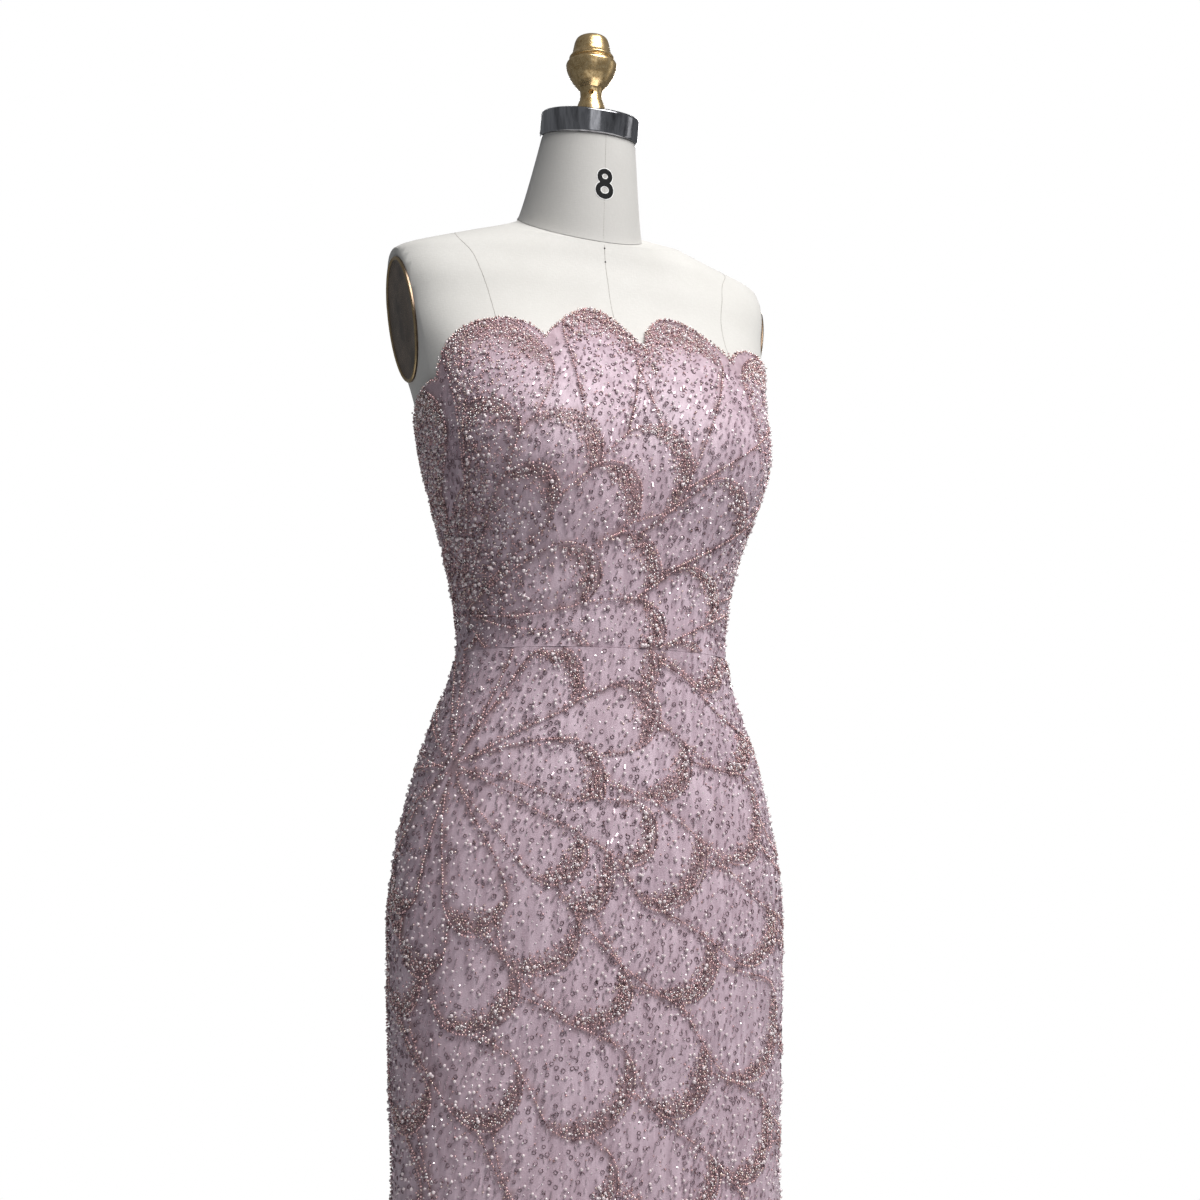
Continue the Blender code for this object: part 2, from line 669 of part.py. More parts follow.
def make_stand():
    base = (
        Ring(0.0, BASE_RADIUS - BASE_BEVEL), Ring(BASE_BEVEL, BASE_RADIUS),
        Ring(BASE_HEIGHT - BASE_BEVEL, BASE_RADIUS), Ring(BASE_HEIGHT, BASE_RADIUS - BASE_BEVEL),
    )
    add_object("stand_base", turned_shape("stand_base", base, 48), "stand_metal", BLACK_FINISH)
    low = BASE_HEIGHT + SEAM_GAP
    high = WAIST_Z + FORM_BOTTOM - 0.0004
    pole = (
        Ring(low, FLANGE_RADIUS), Ring(low + FLANGE_HEIGHT, FLANGE_RADIUS),
        Ring(low + FLANGE_HEIGHT, POLE_RADIUS), Ring(high - FLANGE_HEIGHT, POLE_RADIUS),
        Ring(high - FLANGE_HEIGHT, FLANGE_RADIUS), Ring(high, FLANGE_RADIUS),
    )
    add_object("stand_pole", turned_shape("stand_pole", pole, 24), "stand_metal", BLACK_FINISH)


def main():
    clear_scene()
    columns = scallop_turns()
    make_bodice(columns)
    make_skirt(columns)
    make_flare()
    make_zip()
    make_torso(columns)
    make_arm_plates()
    make_neck()
    make_cap_and_finial()
    make_stand()


main()
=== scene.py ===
"""The looks of a beaded mermaid evening gown on a limbless dress form.

The front faces -Y and the wearer's left is +X. A place on the gown is given by its turn, in degrees round the
body from the centre front towards +X, and its height above the narrowest part of the waist. On the unrolled
cloth a place is (across, height): the distance round the body from the centre front, and the height.
"""
import math
from collections import namedtuple

import bmesh
import bpy
import numpy as np
from mathutils import Matrix, Vector

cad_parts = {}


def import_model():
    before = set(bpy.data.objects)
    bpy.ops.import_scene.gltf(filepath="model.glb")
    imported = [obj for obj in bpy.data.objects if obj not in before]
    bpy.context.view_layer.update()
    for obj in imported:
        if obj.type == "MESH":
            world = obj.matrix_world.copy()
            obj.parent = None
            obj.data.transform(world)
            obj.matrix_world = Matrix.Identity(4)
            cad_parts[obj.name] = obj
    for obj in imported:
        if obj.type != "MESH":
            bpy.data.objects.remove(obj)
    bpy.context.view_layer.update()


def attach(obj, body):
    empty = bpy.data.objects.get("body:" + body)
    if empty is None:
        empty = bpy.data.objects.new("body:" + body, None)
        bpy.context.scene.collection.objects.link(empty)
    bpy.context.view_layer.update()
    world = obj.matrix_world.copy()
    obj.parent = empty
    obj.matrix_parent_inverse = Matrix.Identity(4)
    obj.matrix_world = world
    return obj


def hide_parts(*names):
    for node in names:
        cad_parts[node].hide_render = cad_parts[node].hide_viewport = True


GOWN = "gown_on_form"

# The solids' sizes, in metres
WAIST_Z = 1.060
CLOTH = 0.0016
SEAM_GAP = 0.0003
FORM_INSET = 0.0007
TURN_STRETCH = 1.35
FORM_BOTTOM = -0.270
FLARE_SEAM = -0.500
WAIST_SEAM = -0.010
HEM = -1.052
ZIP_END = -0.200
ZIP_WIDTH = 0.0042
ZIP_TOP_GAP = 0.0025

Section = namedtuple("Section", "height half_width front back centre squareness")
SECTIONS = (
    Section(-1.052, 0.345, 0.335, 0.335, 0.000, 2.00),
    Section(-0.950, 0.306, 0.284, 0.290, 0.000, 2.00),
    Section(-0.850, 0.268, 0.234, 0.246, 0.000, 2.00),
    Section(-0.750, 0.234, 0.188, 0.205, 0.000, 2.05),
    Section(-0.650, 0.204, 0.146, 0.168, 0.000, 2.10),
    Section(-0.570, 0.185, 0.118, 0.144, 0.000, 2.10),
    Section(-0.500, 0.177, 0.107, 0.136, 0.000, 2.15),
    Section(-0.400, 0.1785, 0.107, 0.142, 0.000, 2.15),
    Section(-0.300, 0.181, 0.108, 0.150, 0.000, 2.15),
    Section(-0.220, 0.180, 0.108, 0.149, 0.000, 2.15),
    Section(-0.140, 0.166, 0.103, 0.133, 0.000, 2.15),
    Section(-0.080, 0.148, 0.098, 0.116, 0.000, 2.15),
    Section(-0.030, 0.129, 0.096, 0.096, 0.000, 2.15),
    Section(0.000, 0.123, 0.098, 0.086, 0.000, 2.15),
    Section(0.030, 0.1245, 0.100, 0.086, 0.000, 2.15),
    Section(0.080, 0.1345, 0.107, 0.095, 0.000, 2.15),
    Section(0.130, 0.147, 0.115, 0.103, 0.000, 2.20),
    Section(0.170, 0.156, 0.117, 0.110, 0.001, 2.25),
    Section(0.220, 0.163, 0.108, 0.117, 0.004, 2.40),
    Section(0.250, 0.168, 0.100, 0.114, 0.012, 2.60),
    Section(0.280, 0.1765, 0.088, 0.107, 0.022, 2.90),
    Section(0.310, 0.1825, 0.080, 0.097, 0.030, 3.00),
    Section(0.335, 0.1870, 0.073, 0.087, 0.031, 2.90),
    Section(0.355, 0.1880, 0.067, 0.077, 0.031, 2.40),
    Section(0.367, 0.1830, 0.0655, 0.071, 0.031, 2.05),
    Section(0.376, 0.1610, 0.0645, 0.067, 0.031, 1.85),
    Section(0.386, 0.1270, 0.0635, 0.065, 0.030, 1.80),
    Section(0.398, 0.0850, 0.0620, 0.063, 0.030, 1.85),
    Section(0.410, 0.0640, 0.0610, 0.061, 0.029, 2.00),
    Section(0.424, 0.0610, 0.060, 0.060, 0.029, 2.00),
    Section(0.448, 0.0600, 0.060, 0.060, 0.029, 2.00),
)
BUST_DEPTH = 0.024
BUST_HEIGHT = 0.170
BUST_RISE = 0.070
BUST_BEARING = 42.0
BUST_WIDTH = 27.0

Scallop = namedtuple("Scallop", "turn height rise")
SCALLOPS = (
    Scallop(8.0, 0.260, 0.040),
    Scallop(43.5, 0.262, 0.036),
    Scallop(83.0, 0.226, 0.010),
    Scallop(115.0, 0.200, 0.012),
    Scallop(148.0, 0.187, 0.014),
    Scallop(180.0, 0.181, 0.014),
    Scallop(216.0, 0.187, 0.012),
    Scallop(252.0, 0.199, 0.009),
    Scallop(290.0, 0.228, 0.035),
    Scallop(329.5, 0.262, 0.041),
    Scallop(368.0, 0.260, 0.000),
)
ARCH_POWER = 0.8
Flute = namedtuple("Flute", "turn depth half_width")
FLUTES = (
    Flute(0.0, 0.040, 9.5),
    Flute(29.0, 0.034, 8.0),
    Flute(60.0, 0.044, 9.0),
    Flute(90.0, 0.040, 8.0),
    Flute(118.0, 0.036, 9.0),
    Flute(149.0, 0.046, 8.5),
    Flute(180.0, 0.040, 9.5),
    Flute(209.0, 0.042, 8.0),
    Flute(241.0, 0.034, 9.5),
    Flute(270.0, 0.040, 8.5),
    Flute(303.0, 0.046, 9.0),
    Flute(332.0, 0.036, 8.0),
)
FLUTE_GROWTH = 1.25

# Neck, cap, finial, arm plates and stand, at the solids' places
NECK_BASE_CENTRE = Vector((0.0, 0.0290, 0.4080))
NECK_BASE_TILT = 28.0
NECK_BASE_RADII = (0.0595, 0.0685)
NECK_TOP_CENTRE = Vector((0.0, 0.0060, 0.4875))
NECK_TOP_RADIUS = 0.0446
CAP_TILT = 14.0
CAP_RADIUS = 0.0470
CAP_HEIGHT = 0.0225
FINIAL_TILT = 2.0
FINIAL_HOLE_RADIUS = 0.0026
FINIAL_HOLE_DEPTH = 0.0060
FINIAL_HOLE_HEIGHT = 0.0196
FINIAL_HOLE_BEARING = -22.0
FINIAL_WAIST_RADIUS = 0.0102
FINIAL_DRILL = 0.030
FINIAL = (
    (0.0000, 0.0146), (0.0070, 0.0138), (0.0105, 0.0126), (0.0150, 0.0108), (0.0195, 0.0102),
    (0.0250, 0.0108), (0.0268, 0.0128), (0.0310, 0.0166), (0.0370, 0.0206), (0.0440, 0.0235),
    (0.0488, 0.0243), (0.0512, 0.0232), (0.0522, 0.0205), (0.0534, 0.0196), (0.0544, 0.0208),
    (0.0558, 0.0215), (0.0572, 0.0206), (0.0580, 0.0195), (0.0604, 0.0184), (0.0705, 0.0163),
    (0.0742, 0.0146), (0.0762, 0.0108), (0.0766, 0.0004),
)
TORSO_LEVELS = ((FORM_BOTTOM, 0.14, 14), (0.15, 0.36, 42), (0.3625, 0.448, 30))
TORSO_COLUMNS = 136
ARM_CUT = (0.30, 0.24, 0.10)
PLATE_CENTRE = Vector((0.1735, 0.0300, 0.3000))
PLATE_LEAN = 9.3
PLATE_RADII = (0.0390, 0.0580)
PLATE_PROFILE = (
    (0.0003, 1.0), (0.0018, 1.0), (0.0027, 0.985), (0.0030, 0.970), (0.0027, 0.955),
    (0.0018, 0.943), (0.0016, 0.90), (0.0018, 0.55), (0.0020, 0.25), (0.0021, 0.01),
)
POLE_RADIUS = 0.016
FLANGE_RADIUS = 0.045
FLANGE_HEIGHT = 0.006
BASE_RADIUS = 0.170
BASE_HEIGHT = 0.012
BASE_BEVEL = 0.003
SIDES = 96
NECK_STEPS = 24
NUMBER_STROKE = 0.0048
NUMBER_REACH = 0.053
NUMBER_PART = 0.535
NECK_LENGTH = 0.101

# Beads. A tone is a place in bead_materials, and each row of tones gives the share of each of the first six
SEED_PITCH = 0.0023
SEED_RADIUS = 0.00118
LINE_PITCH = 0.0027
SCATTER_PITCH = 0.0065
FLARE_SCATTER = 0.55
OPEN_SHARE = 0.40
BAND_TOP = 0.018
SCALLOP_BAND = 0.034
ROPE_CLEAR = 0.0024
BAND_LINE = 0.0032
TOP_BAND = 0.052
SIDE_TURN = 72.0
SIDE_SPREAD = 33.0
SIDE_SEEDS = (0.72, 0.22)
FADE_TOP = -0.560
FADE_BOTTOM = -0.780
PETAL_PUFF = 0.0011
SEED_CLEAR = 0.0013
SCATTER_CLEAR = 0.003
BIG_SHARE = 0.070
PEARL_TONE, CRYSTAL_TONE, RING_TONE, BUGLE_TONE = 6, 2, 7, 8
USUAL_TONES = (0.26, 0.21, 0.18, 0.14, 0.16, 0.05)
# Tones of the seeds up the bust and near the top edge: paler beads, partly painted light on the up-facing
# bust
PALE_AND_LIT_TONES = (0.30, 0.08, 0.26, 0.04, 0.26, 0.06)
LINE_TONES = (0.30, 0.26, 0.12, 0.18, 0.12, 0.02)
FREE_KINDS = (0.20, 0.26, 0.32, 0.22)  # pearls, open beads, short tubes and seeds
BODY_REACH = 0.54
FLARE_REACH = 1.15

random = np.random.default_rng(8)


# The body's surface
def sections_at(height):
    """The section table's columns at these heights, along smooth curves through its rows."""
    table = np.array(SECTIONS)
    levels = table[:, 0]
    height = np.clip(height, levels[0], levels[-1])
    row = np.clip(np.searchsorted(levels, height, side="right") - 1, 0, len(levels) - 2)
    span = levels[row + 1] - levels[row]
    part = (height - levels[row]) / span
    columns = []
    for values in table[:, 1:].T:
        slope = np.gradient(values, levels)
        columns.append(
            (1 + 2 * part) * (1 - part) ** 2 * values[row]
            + part * (1 - part) ** 2 * span * slope[row]
            + part**2 * (3 - 2 * part) * values[row + 1]
            + part**2 * (part - 1) * span * slope[row + 1]
        )
    return columns


def flute_depth(turn, height):
    grown = np.clip((FLARE_SEAM - height) / (FLARE_SEAM - HEM), 0.0, 1.0) ** FLUTE_GROWTH
    depth = np.zeros_like(turn)
    for flute in FLUTES:
        away = (turn - flute.turn + 180.0) % 360.0 - 180.0
        depth = depth + flute.depth * np.exp(-((away / flute.half_width) ** 2))
    return grown * depth


def body_points(turn, height):
    turn, height = np.broadcast_arrays(np.asarray(turn, float), np.asarray(height, float))
    half_width, front, back, centre, squareness = sections_at(height)
    across = TURN_STRETCH * np.sin(np.radians(turn))
    ahead = np.cos(np.radians(turn))
    length = np.hypot(across, ahead)
    across, ahead = across / length, ahead / length
    depth = np.where(ahead > 0, front, back)
    fullness = np.abs(across / half_width) ** squareness + np.abs(ahead / depth) ** squareness
    reach = fullness ** (-1 / squareness)
    bearing = np.abs(np.degrees(np.arctan2(across, ahead)))
    bust = np.exp(-(((bearing - BUST_BEARING) / BUST_WIDTH) ** 2) - ((height - BUST_HEIGHT) / BUST_RISE) ** 2)
    reach = reach + BUST_DEPTH * bust + flute_depth(turn, height)
    return np.stack([reach * across, centre - reach * ahead, WAIST_Z + height], axis=-1)


def unit(vectors):
    return vectors / np.linalg.norm(vectors, axis=-1, keepdims=True)


def body_frames(turn, height, step=0.002):
    """Unit vectors at these places: round the body, up the cloth, and out of it."""
    turn, height = np.broadcast_arrays(np.asarray(turn, float), np.asarray(height, float))
    along = unit(body_points(turn + 100 * step, height) - body_points(turn - 100 * step, height))
    up = body_points(turn, height + step) - body_points(turn, height - step)
    out = unit(np.cross(along, up))
    return along, np.cross(out, along), out


def offset_points(turn, height, out):
    out = np.asarray(out)
    if out.ndim:
        out = out[..., None]
    return body_points(turn, height) + out * body_frames(turn, height)[2]


def turn_for(distance, turn, height):
    ends = body_points(np.array([turn - 0.5, turn + 0.5]), np.array([height, height]))
    return distance / float(np.linalg.norm(ends[1] - ends[0]))


def top_edge(turn):
    """Heights of the scalloped top edge."""
    turn = np.asarray(turn, float)
    start = SCALLOPS[0].turn
    turn = (turn - start) % 360.0 + start
    height = np.full(turn.shape, SCALLOPS[0].height)
    for this, after in zip(SCALLOPS, SCALLOPS[1:]):
        part = (turn - this.turn) / (after.turn - this.turn)
        arch = np.clip(1.0 - (2.0 * part - 1.0) ** 2, 0.0, 1.0) ** ARCH_POWER
        value = this.height + (after.height - this.height) * part + this.rise * arch
        height = np.where((part >= 0.0) & (part <= 1.0), value, height)
    return height


def top_edge_at(turn):
    return float(top_edge(np.array([turn]))[0])


# The unrolled cloth
LEVEL_STEP = 0.004
LEVELS = np.arange(HEM, 0.335, LEVEL_STEP)
TURNS = np.linspace(-180.0, 180.0, 721)
EVEN = np.linspace(-1.0, 1.0, 801)


def unroll():
    """Distances round the body at each level and turn, and the turns at even shares of each half."""
    points = body_points(TURNS[None, :], LEVELS[:, None])
    steps = np.linalg.norm(np.diff(points, axis=1), axis=2)
    distance = np.concatenate([np.zeros((len(LEVELS), 1)), np.cumsum(steps, axis=1)], axis=1)
    distance -= distance[:, [len(TURNS) // 2]]
    shares = np.where(distance < 0, -distance / distance[:, [0]], distance / distance[:, [-1]])
    inverse = np.stack([np.interp(EVEN, row, TURNS) for row in shares])
    return distance, inverse


DISTANCE, INVERSE = unroll()


def table_at(table, row, column):
    """Reads a table between its rows and columns."""
    row = np.clip(row, 0, table.shape[0] - 1.001)
    column = np.clip(column, 0, table.shape[1] - 1.001)
    r, c = row.astype(int), column.astype(int)
    v, u = row - r, column - c
    low = table[r, c] * (1 - u) + table[r, c + 1] * u
    high = table[r + 1, c] * (1 - u) + table[r + 1, c + 1] * u
    return low * (1 - v) + high * v


def turn_at(across, height):
    """The turn at these places on the unrolled cloth, and whether they are on it."""
    row = (height - LEVELS[0]) / LEVEL_STEP
    whole = np.zeros_like(across)
    half = np.where(
        across < 0,
        -table_at(DISTANCE, row, whole),
        table_at(DISTANCE, row, whole + len(TURNS) - 1),
    )
    share = across / half
    column = (np.clip(share, -1.0, 1.0) + 1.0) / 2.0 * (len(EVEN) - 1)
    return table_at(INVERSE, row, column), np.abs(share) < 0.9995


def across_at(turn, height):
    turn = (np.asarray(turn, float) + 180.0) % 360.0 - 180.0
    row = (height - LEVELS[0]) / LEVEL_STEP
    return table_at(DISTANCE, row, (turn + 180.0) / 360.0 * (len(TURNS) - 1))


Wave = namedtuple("Wave", "across height shift_across shift_height phase")
WAVES = (
    Wave(31.0, 12.0, 0.0034, 0.0021, 0.3),
    Wave(-14.0, 38.0, 0.0028, 0.0036, 1.9),
    Wave(52.0, -27.0, 0.0016, 0.0019, 4.1),
)


def warp(places, sign=1.0):
    """Moves places on the unrolled cloth by a few slow waves, so that no petal is quite regular."""
    moved = places.copy()
    for wave in WAVES:
        swing = np.sin(wave.across * places[:, 0] + wave.height * places[:, 1] + wave.phase)
        moved[:, 0] += sign * wave.shift_across * swing
        moved[:, 1] += sign * wave.shift_height * swing
    return moved


# Petals
Petal = namedtuple("Petal", "root end root_radius radius band lean")
Fan = namedtuple("Fan", "across height first pitch start spread spacing radius")
SKIRT_FAN = Fan(-0.160, -0.112, 0.142, 0.046, -212.0, 360.0, 0.100, 0.029)
BODICE_FAN = Fan(-0.165, 0.022, 0.140, 0.048, -36.0, 124.0, 0.098, 0.029)


def heading(degrees):
    """A unit vector on the unrolled cloth."""
    return np.array([math.cos(math.radians(degrees)), math.sin(math.radians(degrees))])


def fan_petals(fan):
    """Two rings of long petals that meet at a hub, the second between the petals of the first."""
    petals = []
    hub = np.array([fan.across, fan.height])
    count = round(math.radians(fan.spread) * fan.first / fan.spacing)
    for ring in (0, 1):
        for place in range(count):
            jitter = random.uniform(-1.0, 1.0, 4)
            out = heading(fan.start + fan.spread * (place + 0.5 * ring + 0.25 + 0.05 * jitter[0]) / count)
            radius = fan.radius * (1.0 + 0.06 * jitter[1])
            end = hub + out * (fan.first + fan.pitch * ring + 0.006 * jitter[2] - radius)
            band = BAND_TOP * (1.0 + 0.12 * jitter[3])
            petals.append(Petal(hub + out * 0.004, end, 0.003, radius, band, 0.0))
    return petals


Sheaf = namedtuple("Sheaf", "across height nearest row column swing stack low high")
SKIRT_SHEAF = Sheaf(-1.100, 0.600, 0.600, 0.116, 2.62, 60.0, -78.0, -1.20, 0.08)
BODICE_SHEAF = Sheaf(-0.900, -0.450, 0.500, 0.102, 3.30, -80.0, 74.0, -0.06, 0.172)


def sheaf_petals(sheaf):
    """Petals in columns that spread from a far hub and overlap like scales, those up the stack on top."""
    petals = []
    hub = np.array([sheaf.across, sheaf.height])
    for column in range(int(360.0 / sheaf.column)):
        for row in range(30):
            jitter = random.uniform(-1.0, 1.0, 5)
            angle = (column + 0.08 * jitter[0]) * sheaf.column
            reach = sheaf.nearest + sheaf.row * (row + 0.5 * (column % 2) + 0.10 * jitter[1])
            radius = reach * math.radians(sheaf.column) * (0.57 + 0.03 * jitter[2])
            end = hub + heading(angle) * (reach - radius)
            if not (sheaf.low < end[1] < sheaf.high and abs(end[0]) < 1.2):
                continue
            axis = heading(angle + sheaf.swing * max(-0.25, min(0.25, end[0])) + 4.0 * jitter[4])
            root = end - axis * (sheaf.row * 1.4 + radius * 0.3)
            petals.append(Petal(root, end, 0.006, radius, BAND_TOP * (1.0 + 0.12 * jitter[3]), -8.0))
    stack = heading(sheaf.stack)
    return sorted(petals, key=lambda petal: float(petal.end @ stack))


def upright_petals():
    """An upright petal under each scallop."""
    petals = []
    for this, after in zip(SCALLOPS, SCALLOPS[1:]):
        turn = (this.turn + after.turn) / 2
        level = top_edge_at(turn)
        before, middle, behind = across_at(np.array([this.turn, turn, after.turn]), np.full(3, level))
        radius = min(0.098, abs(float(behind - before))) * 0.49
        end = np.array([middle, level - radius])
        petals.append(Petal(end + (-0.030, -0.150), end, 0.006, radius, SCALLOP_BAND, 0.0))
    return petals


def petal_axis(petal):
    axis = petal.end - petal.root
    length = float(np.linalg.norm(axis))
    return axis / length, length


def petal_distance(petal, places):
    """Distance of places from a petal's outline, under zero inside it."""
    axis, length = petal_axis(petal)
    away = places - petal.root
    x = np.abs(away[:, 0] * axis[1] - away[:, 1] * axis[0])
    y = away @ axis
    b = (petal.root_radius - petal.radius) / length
    a = math.sqrt(max(0.0, 1.0 - b * b))
    side = a * y - b * x
    low = np.hypot(x, y) - petal.root_radius
    high = np.hypot(x, y - length) - petal.radius
    return np.where(side < 0, low, np.where(side > a * length, high, a * x + b * y - petal.root_radius))


def petal_outline(petal, pitch):
    """Places along a petal's outline: its two sides and its rounded end."""
    axis, length = petal_axis(petal)
    sideways = np.array([axis[1], -axis[0]])
    b = (petal.root_radius - petal.radius) / length
    start = math.asin(max(-1.0, min(1.0, b)))
    places = [
        petal.end + petal.radius * (math.cos(angle) * sideways + math.sin(angle) * axis)
        for angle in np.arange(start, math.pi - start, pitch / petal.radius)
    ]
    for side in (-1, 1):
        normal = side * math.cos(start) * sideways + math.sin(start) * axis
        low = petal.root + petal.root_radius * normal
        high = petal.end + petal.radius * normal
        count = int(np.linalg.norm(high - low) / pitch)
        places += [high + (low - high) * step / count for step in range(1, count)]
    return np.array(places)


def top_petals(petals, places):
    """For each place the petal that shows there, its depth inside the outline, and how near the round end."""
    owner = np.full(len(places), -1)
    inside = np.zeros(len(places))
    toward = np.zeros(len(places))
    left = np.arange(len(places))
    for number, petal in enumerate(petals):
        reach = np.linalg.norm(petal.end - petal.root) + petal.radius
        near = left[np.abs(places[left] - petal.end).max(axis=1) < reach]
        if not len(near):
            continue
        distance = petal_distance(petal, places[near])
        hit = near[distance < 0]
        owner[hit] = number
        inside[hit] = -distance[distance < 0]
        axis = petal.end - petal.root
        turned = math.atan2(axis[1], axis[0]) + math.radians(petal.lean)
        away = unit(places[hit] - petal.end + 1e-9)
        toward[hit] = away[:, 0] * math.cos(turned) + away[:, 1] * math.sin(turned)
        left = left[owner[left] < 0]
    return owner, inside, toward


def smooth(value, low, high):
    part = np.clip((value - low) / (high - low), 0.0, 1.0)
    return part * part * (3.0 - 2.0 * part)


def band_share(petals, owner, inside, toward):
    """How far into its petal's beaded band each place is: 0 at the outline, 1 where the band ends."""
    bands = np.array([petal.band for petal in petals] + [BAND_LINE])
    width = BAND_LINE + (bands[owner] - BAND_LINE) * smooth(toward, -0.10, 0.85)
    return np.where(owner >= 0, inside / width, 9.0)


# Meshes from arrays
def mesh_from_arrays(name, points, corners, sides, slots=None, smooth_faces=None):
    """A mesh of faces that all have the same number of sides."""
    mesh = bpy.data.meshes.new(name)
    mesh.vertices.add(len(points))
    mesh.vertices.foreach_set("co", np.ascontiguousarray(points, np.float32).ravel())
    faces = len(corners) // sides
    mesh.loops.add(len(corners))
    mesh.loops.foreach_set("vertex_index", np.ascontiguousarray(corners, np.int32))
    mesh.polygons.add(faces)
    mesh.polygons.foreach_set("loop_start", np.arange(faces, dtype=np.int32) * sides)
    if slots is not None:
        mesh.polygons.foreach_set("material_index", slots.astype(np.int32))
    flags = np.ones(faces, bool) if smooth_faces is None else smooth_faces
    mesh.polygons.foreach_set("use_smooth", flags)
    mesh.update(calc_edges=True)
    mesh.validate()
    return mesh


def new_object(name, data):
    made = bpy.data.objects.new(name, data)
    bpy.context.scene.collection.objects.link(made)
    return made


def add_piece(name, mesh, materials, slot, *replaced):
    made = new_object(name, mesh)
    for each in materials:
        mesh.materials.append(each)
    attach(made, GOWN)
    if replaced:
        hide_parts(*replaced)
    return made


def ring_shape(rings, closed=False, shape=None):
    """A bmesh over rings of points, capped at both ends or closed from the last ring to the first."""
    shape = bmesh.new() if shape is None else shape
    rings = [[shape.verts.new(point) for point in ring] for ring in rings]
    for low, high in zip(rings, rings[1:] + rings[:1] * closed):
        for place, vertex in enumerate(low):
            after = (place + 1) % len(low)
            shape.faces.new((vertex, low[after], high[after], high[place]))
    if not closed:
        shape.faces.new(rings[0][::-1])
        shape.faces.new(rings[-1])
    bmesh.ops.recalc_face_normals(shape, faces=shape.faces)
    return shape


def mesh_of(name, shape):
    mesh = bpy.data.meshes.new(name)
    shape.to_mesh(mesh)
    shape.free()
    return mesh


def smoothed(mesh, angle):
    """The mesh with smooth shading, but for edges sharper than an angle."""
    mesh.shade_smooth()
    mesh.set_sharp_from_angle(angle=math.radians(angle))
    return mesh


def template_of(shape):
    """A bmesh as (points, triangles)."""
    bmesh.ops.triangulate(shape, faces=shape.faces[:])
    shape.verts.ensure_lookup_table()
    points = np.array([vertex.co[:] for vertex in shape.verts])
    triangles = np.array([[vertex.index for vertex in face.verts] for face in shape.faces])
    shape.free()
    return points, triangles


SEED = (
    np.array([(1, 0, 0), (-1, 0, 0), (0, 1, 0), (0, -1, 0), (0, 0, 0.8), (0, 0, -0.8)], float),
    np.array([(0, 2, 4), (2, 1, 4), (1, 3, 4), (3, 0, 4), (2, 0, 5), (1, 2, 5), (3, 1, 5), (0, 3, 5)]),
)


def pearl_template():
    shape = bmesh.new()
    bmesh.ops.create_icosphere(shape, subdivisions=1, radius=1.0)
    return template_of(shape)


def ring_template():
    """A round bead with an open middle, outer radius 1, lying flat."""
    around, across, thick = 6, 3, 0.19
    points, triangles = [], []
    for i in range(around):
        for j in range(across):
            turn, roll = 2 * math.pi * i / around, 2 * math.pi * (j + 0.5) / across
            reach = 1.0 - thick + thick * math.cos(roll)
            points.append((reach * math.cos(turn), reach * math.sin(turn), thick * math.sin(roll)))
            a, b, c, d = (
                (i + u) % around * across + (j + v) % across for u, v in ((0, 0), (0, 1), (1, 1), (1, 0))
            )
            triangles += [(a, d, c), (a, c, b)]
    return np.array(points), np.array(triangles)


def bugle_template():
    """A short tube bead along X, half length 1 and radius 1."""
    shape = bmesh.new()
    turned = Matrix.Rotation(math.radians(90.0), 4, "Y") @ Matrix.Rotation(math.radians(45.0), 4, "Z")
    bmesh.ops.create_cone(
        shape, cap_ends=True, segments=4, radius1=1.0, radius2=1.0, depth=2.0, matrix=turned
    )
    return template_of(shape)


PEARL = pearl_template()
RING = ring_template()
BUGLE = bugle_template()

Batch = namedtuple("Batch", "template centres frames sizes tones smooth")


def add_beads(name, batches, materials, slot="gown_cloth"):
    """One piece of many beads, from batches of like beads."""
    points, corners, tones, flags, total = [], [], [], [], 0
    for shape, centres, frames, sizes, batch_tones, is_smooth in batches:
        count = len(centres)
        if not count:
            continue
        points_each, triangles = shape
        scaled = points_each * np.broadcast_to(sizes, (count, 3))[:, None, :]
        points.append((centres[:, None, :] + np.einsum("nij,nkj->nki", frames, scaled)).reshape(-1, 3))
        start = total + np.arange(count)[:, None, None] * len(points_each)
        corners.append((triangles + start).ravel())
        tones.append(np.repeat(np.broadcast_to(batch_tones, count), len(triangles)))
        flags.append(np.full(count * len(triangles), is_smooth))
        total += count * len(points_each)
    points, corners, tones, flags = (np.concatenate(each) for each in (points, corners, tones, flags))
    return add_piece(name, mesh_from_arrays(name, points, corners, 3, tones, flags), materials, slot)


def random_frames(count):
    """Evenly random rotations."""
    q = unit(random.normal(size=(count, 4)))
    w, x, y, z = q.T
    rows = [
        [1 - 2 * (y * y + z * z), 2 * (x * y - z * w), 2 * (x * z + y * w)],
        [2 * (x * y + z * w), 1 - 2 * (x * x + z * z), 2 * (y * z - x * w)],
        [2 * (x * z - y * w), 2 * (y * z + x * w), 1 - 2 * (x * x + y * y)],
    ]
    return np.moveaxis(np.array(rows), -1, 0)


def lying_frames(turn, height, heading, tilt):
    """Frames whose X runs along heading on the cloth and whose Z stands out of it, tilted a little."""
    along, up, out = body_frames(turn, height)
    x = np.cos(heading)[:, None] * along + np.sin(heading)[:, None] * up
    out = unit(out + tilt * random.normal(size=out.shape))
    x = unit(x - (x * out).sum(axis=1, keepdims=True) * out)
    return np.stack([x, np.cross(out, x), out], axis=2)


# Materials
def new_material(name, colour, roughness, metallic=0.0, **inputs):
    made = bpy.data.materials.new(name)
    made.use_nodes = True
    shader = made.node_tree.nodes["Principled BSDF"]
    shader.inputs["Base Color"].default_value = (*colour, 1.0)
    shader.inputs["Roughness"].default_value = roughness
    shader.inputs["Metallic"].default_value = metallic
    for key, value in inputs.items():
        shader.inputs[key.replace("_", " ")].default_value = value
    return made


